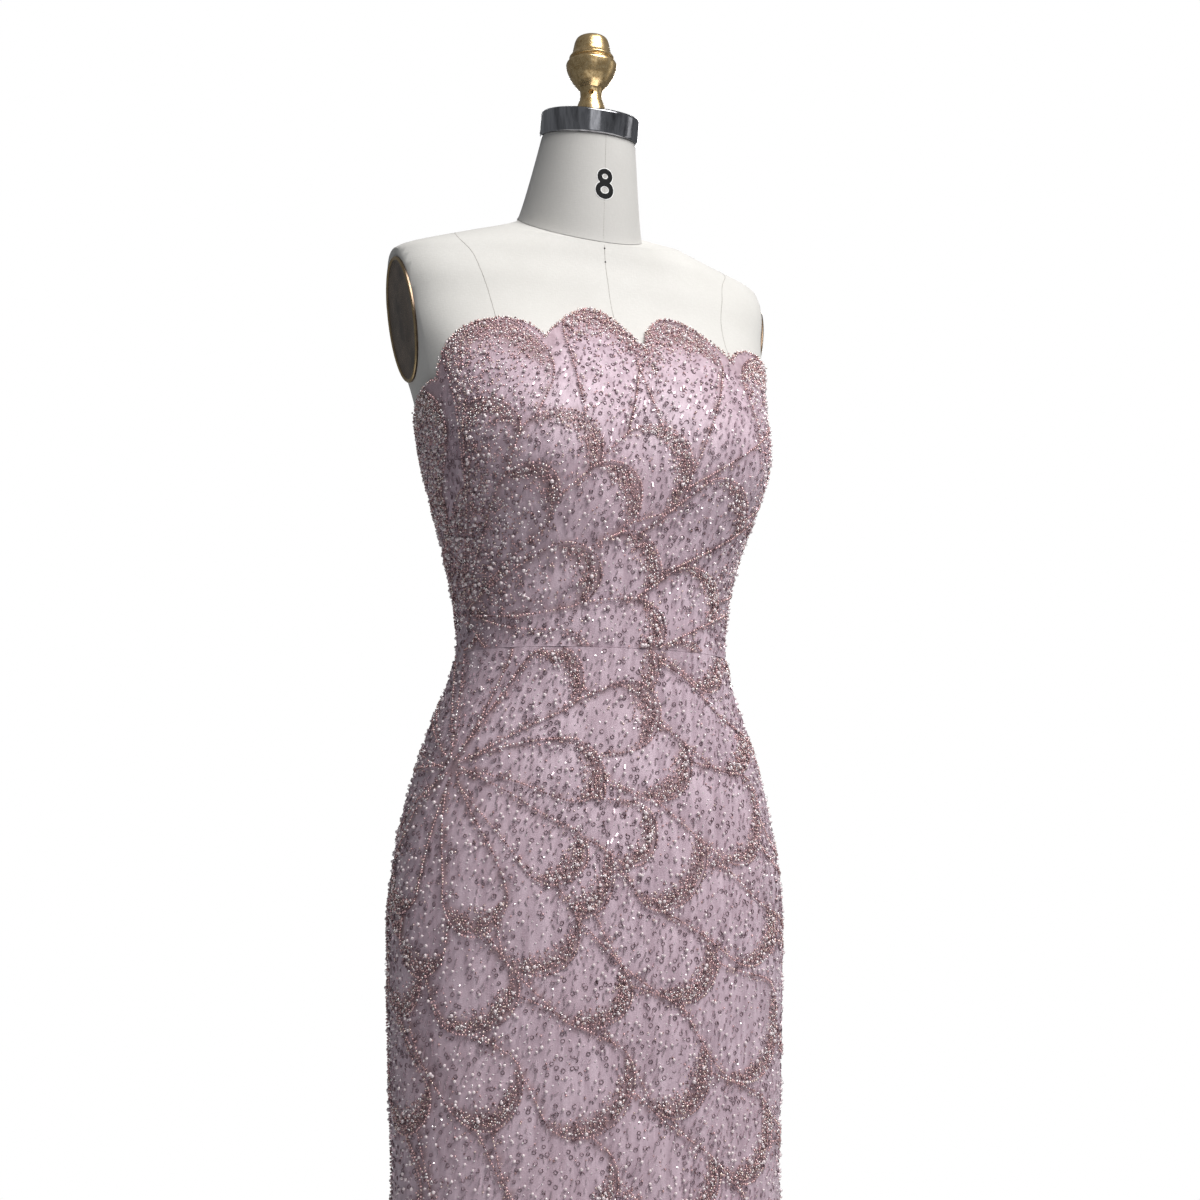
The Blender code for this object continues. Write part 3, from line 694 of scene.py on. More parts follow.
class Nodes:
    """Short calls for building a material's nodes."""

    def __init__(self, owner):
        self.tree = owner.node_tree
        self.shader = self.tree.nodes["Principled BSDF"]
        self.place = self.add("ShaderNodeTexCoord").outputs["Object"]

    def feed(self, node, inputs):
        for name, value in inputs.items():
            if hasattr(value, "is_linked"):
                self.tree.links.new(value, node.inputs[name])
            else:
                node.inputs[name].default_value = value

    def add(self, kind, inputs=None, **settings):
        node = self.tree.nodes.new(kind)
        for key, value in settings.items():
            setattr(node, key, value)
        self.feed(node, inputs or {})
        return node

    def scaled(self, x, y, z):
        return self.add("ShaderNodeMapping", {"Vector": self.place, "Scale": (x, y, z)}).outputs["Vector"]

    def noise(self, place, scale, detail=3.0, roughness=0.55):
        inputs = {"Vector": place, "Scale": scale, "Detail": detail, "Roughness": roughness}
        return self.add("ShaderNodeTexNoise", inputs).outputs["Fac"]

    def spread(self, value, low, high, to_low, to_high):
        inputs = {"Value": value, "From Min": low, "From Max": high, "To Min": to_low, "To Max": to_high}
        return self.add("ShaderNodeMapRange", inputs).outputs["Result"]

    def maths(self, operation, a, b):
        return self.add("ShaderNodeMath", {0: a, 1: b}, operation=operation).outputs[0]

    def mix(self, share, a, b):
        a, b = (value if hasattr(value, "is_linked") else (*value, 1.0) for value in (a, b))
        return self.add("ShaderNodeMix", {0: share, 6: a, 7: b}, data_type="RGBA").outputs[2]

    def finish(self, colour, relief=None, strength=0.0, distance=0.0, **inputs):
        """Feeds the shader its colour, its relief and other inputs."""
        if relief is not None:
            heights = {"Height": relief, "Strength": strength, "Distance": distance}
            inputs["Normal"] = self.add("ShaderNodeBump", heights).outputs["Normal"]
        self.feed(self.shader, {"Base Color": colour, **inputs})


def satin_material():
    """Lilac pink satin under fine net, with painted sheen streaks and painted brown shade where the beads are
    sewn close.
    """
    made = new_material(
        "gown_satin", (0.66, 0.54, 0.59), 0.42, Sheen_Weight=0.35, Sheen_Roughness=0.35,
        Sheen_Tint=(0.95, 0.88, 0.93, 1.0),
    )
    nodes = Nodes(made)
    sheen_streaks = nodes.noise(nodes.scaled(1.0, 1.0, 0.16), 150.0, 4.0)
    clouds = nodes.noise(nodes.place, 9.0, 2.0)
    beads = nodes.add("ShaderNodeAttribute", attribute_name="beaded").outputs["Fac"]
    # Painted sheen: the satin's sheen is laid into its colour as light and dark streaks drawn out up the
    # cloth; the same streaks also set its roughness and relief.
    light = nodes.mix(nodes.spread(sheen_streaks, 0.35, 0.65, 0.0, 1.0), (0.42, 0.31, 0.37), (0.67, 0.53, 0.61))
    tinted = nodes.mix(nodes.spread(clouds, 0.3, 0.7, 0.0, 0.5), light, (0.56, 0.41, 0.475))
    # Painted shade: the satin turns deep brown where the beads are sewn close and along the bead lines,
    # standing in for the shade between and under them.
    colour = nodes.mix(nodes.spread(beads, 0.0, 1.0, 0.0, 0.64), tinted, (0.25, 0.145, 0.15))
    cells = {"Vector": nodes.place, "Scale": 620.0}
    net = nodes.add("ShaderNodeTexVoronoi", cells, feature="DISTANCE_TO_EDGE").outputs["Distance"]
    threads = nodes.spread(net, 0.0, 0.10, 1.0, 0.0)
    relief = nodes.maths("ADD", nodes.maths("MULTIPLY", threads, 0.25), nodes.maths("MULTIPLY", sheen_streaks, 1.2))
    nodes.finish(colour, relief, 0.55, 0.0008, Roughness=nodes.spread(sheen_streaks, 0.3, 0.7, 0.34, 0.55))
    return made


def linen_material(name, light, dark):
    """Plain linen stretched over the form."""
    made = new_material(name, light, 0.85, Sheen_Weight=0.15)
    nodes = Nodes(made)
    weave = nodes.noise(nodes.scaled(1.0, 1.0, 0.25), 900.0, 2.0)
    cross = nodes.noise(nodes.scaled(0.25, 0.25, 1.0), 900.0, 2.0)
    stains = nodes.noise(nodes.place, 14.0, 4.0)
    shade = nodes.maths("MULTIPLY", weave, cross)
    base = nodes.mix(nodes.spread(stains, 0.35, 0.7, 0.0, 0.35), light, dark)
    nodes.finish(nodes.mix(nodes.spread(shade, 0.15, 0.40, 0.25, 0.0), base, dark), shade, 0.35, 0.0005)
    return made


def metal_material(name, light, dark, rough, scale, metallic=1.0, rise=1.0, relief=0.18):
    """Metal or paint with fine wear in its colour and gloss, drawn out upwards where rise is small."""
    made = new_material(name, light, rough, metallic)
    nodes = Nodes(made)
    grain = nodes.noise(nodes.scaled(1.0, 1.0, rise), scale, 6.0, 0.65)
    gloss = nodes.spread(grain, 0.3, 0.7, rough * 0.8, rough * 1.35)
    colour = nodes.mix(nodes.spread(grain, 0.38, 0.68, 0.0, 1.0), light, dark)
    nodes.finish(colour, grain, relief, 0.0004, Roughness=gloss)
    return made


def thread_material(name, light, dark):
    """Sewing thread, a little uneven."""
    made = new_material(name, light, 0.8)
    nodes = Nodes(made)
    twist = nodes.spread(nodes.noise(nodes.place, 700.0, 2.0), 0.3, 0.7, 0.0, 1.0)
    nodes.finish(nodes.mix(twist, light, dark))
    return made


# Cloth
Crease = namedtuple("Crease", "turn height length lean depth width")
CREASES = (
    Crease(-66.0, 0.120, 0.110, 62.0, -0.0016, 0.006),
    Crease(-78.0, 0.090, 0.090, 48.0, -0.0014, 0.005),
    Crease(58.0, 0.105, 0.090, 118.0, -0.0014, 0.006),
    Crease(-30.0, 0.030, 0.080, 24.0, -0.0012, 0.005),
    Crease(24.0, 0.022, 0.090, 160.0, -0.0012, 0.005),
    Crease(70.0, 0.020, 0.070, 14.0, -0.0014, 0.005),
    Crease(-96.0, 0.018, 0.070, 170.0, -0.0014, 0.005),
    Crease(-48.0, -0.040, 0.090, 22.0, -0.0014, 0.006),
    Crease(40.0, -0.046, 0.100, 158.0, -0.0013, 0.006),
    Crease(8.0, -0.060, 0.080, 175.0, -0.0010, 0.006),
    Crease(100.0, -0.050, 0.090, 20.0, -0.0014, 0.006),
    Crease(-72.0, -0.330, 0.180, 96.0, -0.0015, 0.010),
    Crease(20.0, -0.420, 0.200, 84.0, -0.0013, 0.012),
    Crease(74.0, -0.360, 0.190, 92.0, -0.0015, 0.010),
    Crease(140.0, 0.100, 0.120, 74.0, -0.0015, 0.006),
    Crease(-142.0, 0.095, 0.110, 108.0, -0.0015, 0.006),
    Crease(160.0, 0.020, 0.090, 12.0, -0.0015, 0.006),
    Crease(-158.0, 0.016, 0.090, 168.0, -0.0015, 0.006),
    Crease(150.0, -0.280, 0.110, 18.0, -0.0018, 0.009),
    Crease(-148.0, -0.300, 0.120, 164.0, -0.0018, 0.009),
    Crease(128.0, -0.440, 0.170, 88.0, -0.0015, 0.010),
    Crease(-122.0, -0.430, 0.180, 94.0, -0.0015, 0.010),
)


def crease_depth(across, height):
    """How far the cloth's soft creases lie under the plain surface."""
    depth = np.zeros_like(across)
    for crease in CREASES:
        middle = float(across_at(crease.turn, np.array([crease.height]))[0])
        along_x, along_y = heading(crease.lean)
        x, y = across - middle, height - crease.height
        along = x * along_x + y * along_y
        aside = (-x * along_y + y * along_x + 1.4 * along**2) / crease.width
        fade = np.exp(-((2.2 * along / crease.length) ** 2))
        depth = depth + crease.depth * fade * (np.exp(-(aside**2)) - 0.6 * np.exp(-((aside - 1.9) ** 2)))
    return depth


def cloth_relief(petals, turn, height):
    """How far the cloth stands out of its plain surface, and how closely it is beaded, which sets the satin's
    painted shade.
    """
    across = across_at(turn, height)
    flat = np.stack([across.ravel(), height.ravel()], axis=1)
    owner, inside, toward = top_petals(petals, warp(flat, -1.0))
    fade = smooth(flat[:, 1], FADE_BOTTOM, FADE_TOP)
    top = (top_edge(turn) - height).ravel()
    # beaded is the mask of the painted shade: dense in the petals' bands, at their outlines and along the top
    # band.
    border = np.where(flat[:, 1] > WAIST_SEAM, 0.45 - 0.45 * smooth(top, 0.010, TOP_BAND), 0.0)
    beaded = np.maximum(1.0 - smooth(band_share(petals, owner, inside, toward), 0.50, 1.10), border) * fade
    puff = PETAL_PUFF * smooth(inside, 0.002, 0.022) * fade
    return puff.reshape(turn.shape) + crease_depth(across, height), beaded.reshape(turn.shape)


def shell_mesh(name, turns, heights, relief, beaded):
    """A thin closed cloth shell over a grid of places, columns by rows."""
    columns, rows = turns.shape
    inner = offset_points(turns, heights, 0.0002).reshape(-1, 3)
    outer = offset_points(turns, heights, CLOTH + np.maximum(relief, 0.0004 - CLOTH)).reshape(-1, 3)
    count = columns * rows
    cell = (np.arange(columns - 1)[:, None] * rows + np.arange(rows - 1)[None, :]).ravel()
    front = np.stack([cell, cell + rows, cell + rows + 1, cell + 1], axis=1) + count
    back = np.stack([cell + 1, cell + rows + 1, cell + rows, cell], axis=1)
    rim = np.concatenate([
        np.arange(columns) * rows,
        (columns - 1) * rows + np.arange(1, rows),
        np.arange(columns - 2, -1, -1) * rows + rows - 1,
        np.arange(rows - 2, 0, -1),
    ])
    after = np.roll(rim, -1)
    edge = np.stack([rim, after, after + count, rim + count], axis=1)
    faces = np.concatenate([front, back, edge])
    mesh = mesh_from_arrays(name, np.concatenate([inner, outer]), faces.ravel(), 4)
    # The beaded attribute carries the mask of the satin's painted shade between the beads.
    values = np.tile(beaded.ravel(), 2).astype(np.float32)
    mesh.attributes.new("beaded", "FLOAT", "POINT").data.foreach_set("value", values)
    mesh.set_sharp_from_angle(angle=math.radians(50.0))
    return mesh


Panel = namedtuple("Panel", "name low high")
PANELS = (Panel("front", -90.0, 90.0), Panel("back_left", 90.0, 180.0), Panel("back_right", 180.0, 270.0))
FLARE_PANELS = (Panel("front", -90.0, 90.0), Panel("back", 90.0, 270.0))
COLUMNS = 97
FLARE_COLUMNS = 126
BODICE_ROWS = 52
SKIRT_ROWS = 92
FLARE_ROWS = 46
TOP_LEVEL = 0.31


def seam_inset(turn, level):
    """The turn by which a panel's edge keeps clear of its seam, or of the zip."""
    beside_zip = turn == 180.0 and level > ZIP_END - 0.001
    return turn_for(ZIP_WIDTH / 2 + SEAM_GAP if beside_zip else SEAM_GAP / 2, turn, level)


def panel_turns(panel, columns, levels):
    """A grid of turns over a panel, columns by levels."""
    count = int(columns * (panel.high - panel.low) / 180.0) + 1
    return np.stack([
        np.linspace(
            panel.low + seam_inset(panel.low, level), panel.high - seam_inset(panel.high, level), count
        ) for level in levels
    ], axis=1)


def make_cloth(satin, bodice_petals, skirt_petals):
    base = WAIST_SEAM + SEAM_GAP / 2
    skirt_levels = np.linspace(FLARE_SEAM + SEAM_GAP / 2, WAIST_SEAM - SEAM_GAP / 2, SKIRT_ROWS)
    flare_levels = np.linspace(HEM, FLARE_SEAM - SEAM_GAP / 2, FLARE_ROWS)
    grids = {}
    for panel in PANELS:
        ends = panel_turns(panel, COLUMNS, (base, TOP_LEVEL))
        part = np.linspace(0.0, 1.0, BODICE_ROWS)
        top = top_edge(np.linspace(panel.low, panel.high, len(ends)))[:, None]
        grids["bodice_" + panel.name] = (
            ends[:, :1] + (ends[:, 1:] - ends[:, :1]) * part, base + (top - base) * part, bodice_petals
        )
        turns = panel_turns(panel, COLUMNS, skirt_levels)
        grids["skirt_" + panel.name] = (turns, np.broadcast_to(skirt_levels, turns.shape), skirt_petals)
    for panel in FLARE_PANELS:
        turns = panel_turns(panel, FLARE_COLUMNS, flare_levels)
        grids["flare_" + panel.name] = (turns, np.broadcast_to(flare_levels, turns.shape), skirt_petals)
    pieces = {}
    for name, (turns, heights, petals) in grids.items():
        mesh = shell_mesh(name + "_cloth", turns, heights, *cloth_relief(petals, turns, heights))
        pieces[name] = add_piece(name + "_cloth", mesh, [satin], "gown_cloth", name)
    return pieces


# Beads on the cloth
def hex_grid(low, high, pitch, jitter):
    """Places in staggered rows between two corners, each moved a little at random."""
    rows = np.arange(low[1], high[1], pitch * 0.866)
    columns = np.arange(low[0], high[0], pitch)
    x = columns[None, :] + np.where(np.arange(len(rows)) % 2, pitch / 2, 0.0)[:, None]
    y = np.broadcast_to(rows[:, None], x.shape)
    places = np.stack([x.ravel(), y.ravel()], axis=1)
    return places + random.uniform(-jitter, jitter, places.shape) * pitch


def on_cloth(places, clear):
    """Turns and heights of places that lie on the gown, clear of its seams, edges and zip."""
    moved = warp(places)
    turn, kept = turn_at(moved[:, 0], moved[:, 1])
    height = moved[:, 1]
    ends = [across_at(end, height) for end in (-180.0, 179.999)]
    from_back = np.abs(np.where(moved[:, 0] < 0, *ends)) - np.abs(moved[:, 0])
    kept &= height < top_edge(turn) - clear
    kept &= height > HEM + clear
    kept &= np.abs(height - WAIST_SEAM) > clear
    kept &= from_back > np.where(height > ZIP_END, ZIP_WIDTH / 2 + 0.0018, 0.0004)
    return turn, height, kept


def survey(petals, places, clear, low, high):
    """Where places lie among the petals and on the gown, and which of them are in a region."""
    owner, inside, toward = top_petals(petals, places)
    turn, height, kept = on_cloth(places, clear)
    kept &= (height > low) & (height < high)
    return owner, inside, band_share(petals, owner, inside, toward), turn, height, kept


def region_beads(petals, low, high):
    """Turns and heights of a region's seed beads, bead lines and scattered beads."""
    width = FLARE_REACH if low < FLARE_SEAM else BODY_REACH
    corner, far = (-width, low - 0.02), (width, high + 0.02)
    found = []

    places = hex_grid(corner, far, SEED_PITCH, 0.30)
    owner, inside, share, turn, height, kept = survey(petals, places, SEED_CLEAR, low, high)
    wanted = 0.96 * (1.0 - 0.45 * smooth(share, 0.30, 1.00)) * (1.0 - smooth(share, 0.90, 1.40))
    if high > 0:
        wanted = np.maximum(wanted, 0.95 - 0.90 * smooth(top_edge(turn) - height, 0.010, TOP_BAND))
        sides = np.exp(-(((np.abs(turn) - SIDE_TURN) / SIDE_SPREAD) ** 2)) * smooth(height, 0.0, 0.06)
        wanted = np.maximum(wanted, np.where(turn < 0, *SIDE_SEEDS) * sides)
    wanted = np.where(inside < ROPE_CLEAR, 0.0, np.maximum(wanted, 0.025))
    kept &= random.uniform(size=len(places)) < wanted * smooth(height, FADE_BOTTOM, FADE_TOP)
    found.append((turn[kept], height[kept]))

    outlines = [petal_outline(petal, LINE_PITCH) for petal in petals]
    numbers = np.repeat(np.arange(len(petals)), [len(outline) for outline in outlines])
    places = np.concatenate(outlines)
    places += random.normal(size=places.shape) * 0.00016
    owner, inside, share, turn, height, kept = survey(petals, places, SEED_CLEAR, low, high)
    kept &= (owner < 0) | (owner >= numbers) | (inside < 0.0006)
    kept &= random.uniform(size=len(places)) < smooth(height, FADE_BOTTOM - 0.10, FADE_TOP - 0.10)
    found.append((turn[kept], height[kept]))

    places = hex_grid(corner, far, SCATTER_PITCH, 0.36)
    owner, inside, share, turn, height, kept = survey(petals, places, SCATTER_CLEAR, low, high)
    kept &= (share > 1.05) & ((inside > 0.0035) | (owner < 0))
    wanted = 0.14 + 0.86 * smooth(height, FADE_BOTTOM, FADE_TOP)
    kept &= random.uniform(size=len(places)) < wanted * np.where(height < FLARE_SEAM, FLARE_SCATTER, 1.0)
    if high > 0:
        kept &= top_edge(turn) - height > TOP_BAND * 0.35
    found.append((turn[kept], height[kept]))
    return found


def bead_tones(height):
    """A random colour for each seed bead, lighter near the top edge and up the bust: partly paler beads,
    partly painted light.
    """
    usual = random.choice(6, size=len(height), p=USUAL_TONES)
    light = random.choice(6, size=len(height), p=PALE_AND_LIT_TONES)
    # Paler tones from the bust upwards, partly painted light where the key lamp falls on the bust
    return np.where(random.uniform(size=len(height)) < 0.8 * smooth(height, 0.08, 0.20), light, usual)


Bead = namedtuple("Bead", "template low high lift rise tone smooth")
BAND_PEARL = Bead(PEARL, 0.0013, 0.0021, 0.0009, 1.0, PEARL_TONE, True)
BAND_RING = Bead(RING, 0.0015, 0.0020, 0.0009, 1.0, CRYSTAL_TONE, True)
FREE_PEARL = Bead(PEARL, 0.0012, 0.0018, 0.0008, 1.0, PEARL_TONE, True)
FREE_SEED = Bead(SEED, 0.0009, 0.0012, 0.0012, 0.0, CRYSTAL_TONE, False)


def tumbled(kind, turn, height):
    """A batch of one kind of bead, turned at random."""
    radius = random.uniform(kind.low, kind.high, len(turn))
    centres = offset_points(turn, height, CLOTH + kind.lift + kind.rise * radius)
    return Batch(kind.template, centres, random_frames(len(turn)), radius[:, None], kind.tone, kind.smooth)


def in_panel(panel, places):
    turn, height = places
    wrapped = (turn - panel.low) % 360.0 + panel.low
    chosen = (wrapped > panel.low) & (wrapped < panel.high)
    return turn[chosen], height[chosen]


def bead_batches(found, panel):
    """The beads of one panel: batches of fine beads, and batches of large ones."""
    (turn, height), (line_turn, line_height), (free_turn, free_height) = (
        in_panel(panel, places) for places in found
    )
    count = len(turn)
    big = random.uniform(size=count) < BIG_SHARE
    lift = SEED_RADIUS * random.uniform(0.35, 1.9, count)
    size = SEED_RADIUS * random.uniform(0.80, 1.20, count)
    centres = offset_points(turn, height, CLOTH + 0.0004 + lift)
    tone = bead_tones(height)
    small = ~big
    seeds = Batch(SEED, centres[small], random_frames(int(small.sum())), size[small, None], tone[small], True)
    is_open = big & (random.uniform(size=count) < OPEN_SHARE)
    big &= ~is_open
    large = [
        tumbled(BAND_PEARL, turn[big], height[big]),
        tumbled(BAND_RING, turn[is_open], height[is_open]),
    ]
    count = len(line_turn)
    radius = random.uniform(0.00130, 0.00160, count)
    line = Batch(
        SEED, offset_points(line_turn, line_height, CLOTH + 0.0008 + radius), random_frames(count),
        radius[:, None], random.choice(6, size=count, p=LINE_TONES), True,
    )

    kind = random.choice(4, size=len(free_turn), p=FREE_KINDS)
    pearls, rings, bugles, loose = (
        (free_turn[kind == each], free_height[kind == each]) for each in range(len(FREE_KINDS))
    )
    large.append(tumbled(FREE_PEARL, *pearls))
    count = len(rings[0])
    sizes = random.uniform(0.0019, 0.0024, count)[:, None] * (1.0, 1.0, 1.3)
    frames = lying_frames(*rings, random.uniform(0, math.pi, count), 0.22)
    large.append(Batch(RING, offset_points(*rings, CLOTH + 0.0013), frames, sizes, RING_TONE, True))
    count = len(bugles[0])
    length = random.uniform(0.0013, 0.0026, count)
    sizes = np.stack([length, np.full(count, 0.0008), np.full(count, 0.0008)], axis=1)
    frames = lying_frames(*bugles, math.radians(74.0) + random.normal(size=count) * 0.30, 0.15)
    large.append(Batch(BUGLE, offset_points(*bugles, CLOTH + 0.0014), frames, sizes, BUGLE_TONE, False))
    large.append(tumbled(FREE_SEED, *loose))
    return [seeds, line], large


def make_beads(materials, bodice_petals, skirt_petals):
    made = {}
    for region, petals, low, high, panels in (
        ("bodice_", bodice_petals, WAIST_SEAM, TOP_LEVEL + 0.01, PANELS),
        ("skirt_", skirt_petals, FLARE_SEAM, WAIST_SEAM, PANELS),
        ("flare_", skirt_petals, HEM, FLARE_SEAM, FLARE_PANELS),
    ):
        found = region_beads(petals, low, high)
        for panel in panels:
            name = region + panel.name
            fine, large = bead_batches(found, panel)
            made[name] = [
                add_beads(name + "_seed_beads", fine, materials),
                add_beads(name + "_pearls", large, materials),
            ]
    return made


def run_along(points):
    """The distance of each point along a path."""
    return np.concatenate([[0.0], np.cumsum(np.linalg.norm(np.diff(points, axis=0), axis=1))])


def make_edge_beads(materials):
    """Three bead lines along the top edge, up to the zip."""
    turns = np.linspace(-180.0, 180.0, 7201)
    run = run_along(body_points(turns, top_edge(turns) - 0.0007))
    turn = np.interp(np.arange(0.002, run[-1] - 0.002, LINE_PITCH), run, turns)
    turn = turn[np.abs(np.abs(turn) - 180.0) > 1.4]
    height = top_edge(turn) - 0.0009
    rows = []
    for drop, out, size in ((0.0, 0.0008, 0.00125), (0.0012, 0.0022, 0.00120), (0.0, -0.0004, 0.00110)):
        centres = offset_points(turn, height - drop, CLOTH + out)
        centres = centres + random.normal(size=centres.shape) * 0.0006
        rows.append(Batch(SEED, centres, random_frames(len(turn)), size, bead_tones(height), True))
    add_beads("top_edge_beads", rows, materials)


# Seams, zip and small parts
def turned_mesh(name, profile, sides):
    """A closed shape turned about Z from (height, radius) pairs."""
    angles = np.linspace(0.0, 2 * math.pi, sides, endpoint=False)
    circle = np.stack([np.cos(angles), np.sin(angles), np.zeros(sides)], axis=1)
    rings = [circle * radius + (0.0, 0.0, height) for height, radius in profile]
    return smoothed(mesh_of(name, ring_shape(rings)), 32.0)


def rounded(profile, radius, steps=4):
    """The profile with its inner corners rounded."""
    profile = np.array(profile, float)
    made = [profile[0]]
    for before, here, after in zip(profile, profile[1:], profile[2:]):
        first, second = before - here, after - here
        reach = min(radius, np.linalg.norm(first) / 2.1, np.linalg.norm(second) / 2.1)
        start, finish = here + unit(first) * reach, here + unit(second) * reach
        for part in np.linspace(0.0, 1.0, steps + 1):
            made.append((1 - part) ** 2 * start + 2 * part * (1 - part) * here + part**2 * finish)
    return [*made, profile[-1]]


def cut_away(mesh, cutter):
    """The mesh without what lies in a cutter, which is a bmesh."""
    base, tool = new_object("base", mesh), new_object("tool", mesh_of("cutter", cutter))
    step = base.modifiers.new("step", "BOOLEAN")
    step.operation = "DIFFERENCE"
    step.object = tool
    step.solver = "EXACT"
    bpy.context.view_layer.update()
    made = bpy.data.meshes.new_from_object(base.evaluated_get(bpy.context.evaluated_depsgraph_get()))
    for thing in (base, tool):
        bpy.data.objects.remove(thing)
    made.materials.clear()
    return made


def tilted(centre, tilt):
    frame = Matrix.Rotation(math.radians(tilt), 4, "X")
    frame.translation = centre + Vector((0.0, 0.0, WAIST_Z))
    return frame


def plate_frame(side):
    lean = math.radians(PLATE_LEAN)
    outward = Vector((side * math.cos(lean), 0.0, -math.sin(lean)))
    up = Vector((side * math.sin(lean), 0.0, math.cos(lean)))
    frame = Matrix((up.cross(outward), up, outward)).transposed().to_4x4()
    frame.translation = Vector((side * PLATE_CENTRE.x, PLATE_CENTRE.y, WAIST_Z + PLATE_CENTRE.z))
    return frame


def make_torso(linen):
    """The form's torso, finer than its solid, with the same flat arm faces and slanted neck seam."""
    levels = np.concatenate([np.linspace(*levels) for levels in TORSO_LEVELS])
    columns = np.linspace(0.0, 360.0, TORSO_COLUMNS, endpoint=False)
    shape = ring_shape(offset_points(columns[None, :], levels[:, None], -FORM_INSET))
    seam = tilted(NECK_BASE_CENTRE, NECK_BASE_TILT)
    cut = bmesh.ops.bisect_plane(
        shape, geom=[*shape.verts, *shape.edges, *shape.faces], plane_co=seam.translation,
        plane_no=seam.col[2].to_3d(), clear_outer=True,
    )
    edges = [item for item in cut["geom_cut"] if isinstance(item, bmesh.types.BMEdge)]
    bmesh.ops.edgeloop_fill(shape, edges=edges)
    bmesh.ops.recalc_face_normals(shape, faces=shape.faces)
    mesh = mesh_of("torso_cover", shape)
    for side in (-1, 1):
        cutter = bmesh.new()
        place = Matrix.Translation((0.0, 0.0, ARM_CUT[2] / 2)) @ Matrix.Diagonal((*ARM_CUT, 1.0))
        bmesh.ops.create_cube(cutter, size=1.0, matrix=plate_frame(side) @ place)
        mesh = cut_away(mesh, cutter)
    add_piece("torso_cover", smoothed(mesh, 42.0), [linen], "form_linen", "form_torso")


def neck_point(part, bearing, out=0.0):
    """A point of the neck: part of the way up it, at a bearing from the front towards +X."""
    tilt = NECK_BASE_TILT + (CAP_TILT - NECK_BASE_TILT) * part
    centre = NECK_BASE_CENTRE.lerp(NECK_TOP_CENTRE, part)
    wide, deep = (base + (NECK_TOP_RADIUS - base) * part**0.85 + out for base in NECK_BASE_RADII)
    lift = 0.0005 if part == 0 else 0.0
    turn = math.radians(bearing)
    return tilted(centre, tilt) @ Vector((wide * math.sin(turn), -deep * math.cos(turn), lift))


def make_neck(linen, ink, pale):
    rings = [
        [neck_point(step / NECK_STEPS, 360.0 * side / SIDES) for side in range(SIDES)]
        for step in range(NECK_STEPS + 1)
    ]
    mesh = smoothed(mesh_of("neck_cover", ring_shape(rings)), 40.0)
    add_piece("neck_cover", mesh, [linen], "form_linen", "form_neck")
    add_piece("size_number_edge", number_mesh("size_number_edge", 0.0007, 0.00015), [pale], "arm_plate")
    add_piece("size_number", number_mesh("size_number", 0.0, 0.0003), [ink], "arm_plate")


def number_mesh(name, grow, out):
    """A plain numeral 8: two stacked rings that lie on the front of the neck."""
    shape = bmesh.new()
    inner = -NUMBER_STROKE - grow
    for centre, wide, tall in ((0.0062, 0.0079, 0.0073), (-0.0065, 0.0091, 0.0083)):
        rings = []
        for turn in np.linspace(0.0, 2 * math.pi, 40, endpoint=False):
            ring = []
            for widen, lift in ((grow, 0.0), (grow, out), (inner, out), (inner, 0.0)):
                x, y = (wide + widen) * math.cos(turn), centre + (tall + widen) * math.sin(turn)
                bearing = math.degrees(x / NUMBER_REACH)
                ring.append(neck_point(NUMBER_PART + y / NECK_LENGTH, bearing, lift + 0.00005))
            rings.append(ring)
        ring_shape(rings, True, shape)
    return mesh_of(name, shape)


def make_cap_and_finial(chrome, gold):
    low, high = SEAM_GAP, SEAM_GAP + CAP_HEIGHT
    cap = rounded([
        (low, 0.0005), (low, CAP_RADIUS - 0.0008), (low + 0.0016, CAP_RADIUS), (high - 0.0018, CAP_RADIUS),
        (high, CAP_RADIUS - 0.0022), (high, 0.0005),
    ], 0.0012)
    mesh = turned_mesh("cap", cap, SIDES)
    frame = tilted(NECK_TOP_CENTRE, CAP_TILT)
    mesh.transform(frame)
    add_piece("polished_cap", mesh, [chrome], "cap_chrome", "neck_cap")

    foot = frame @ Vector((0.0, 0.0, high + SEAM_GAP))
    upright = Matrix.Rotation(math.radians(FINIAL_TILT), 4, "X")
    upright.translation = foot
    mesh = turned_mesh("finial", rounded(FINIAL, 0.0016), 56)
    for vertex in mesh.vertices:
        if vertex.co.z < 0.0001:
            vertex.co = upright.inverted() @ (frame.to_3x3() @ vertex.co + foot)
    bearing = math.radians(FINIAL_HOLE_BEARING)
    outward = Vector((math.sin(bearing), -math.cos(bearing), 0.0))
    drill = bmesh.new()
    place = outward.to_track_quat("Z", "Y").to_matrix().to_4x4()
    reach = FINIAL_WAIST_RADIUS - FINIAL_HOLE_DEPTH + FINIAL_DRILL / 2
    place.translation = Vector((0.0, 0.0, FINIAL_HOLE_HEIGHT)) + outward * reach
    bmesh.ops.create_cone(
        drill, cap_ends=True, segments=24, radius1=FINIAL_HOLE_RADIUS, radius2=FINIAL_HOLE_RADIUS,
        depth=FINIAL_DRILL, matrix=place,
    )
    mesh = cut_away(mesh, drill)
    mesh.transform(upright)
    add_piece("gold_finial", smoothed(mesh, 36.0), [gold], "finial_brass", "finial")


def make_arm_plates(bronze, rim_gold):
    for side, node in ((1, "arm_plate_left"), (-1, "arm_plate_right")):
        mesh = turned_mesh(node, PLATE_PROFILE, SIDES)
        mesh.transform(plate_frame(side) @ Matrix.Diagonal((*PLATE_RADII, 1.0, 1.0)))
        add_piece(node + "_cover", mesh, [bronze, rim_gold], "arm_plate", node)
        for face in mesh.polygons:
            if 1 <= face.index // SIDES <= 4:
                face.material_index = 1


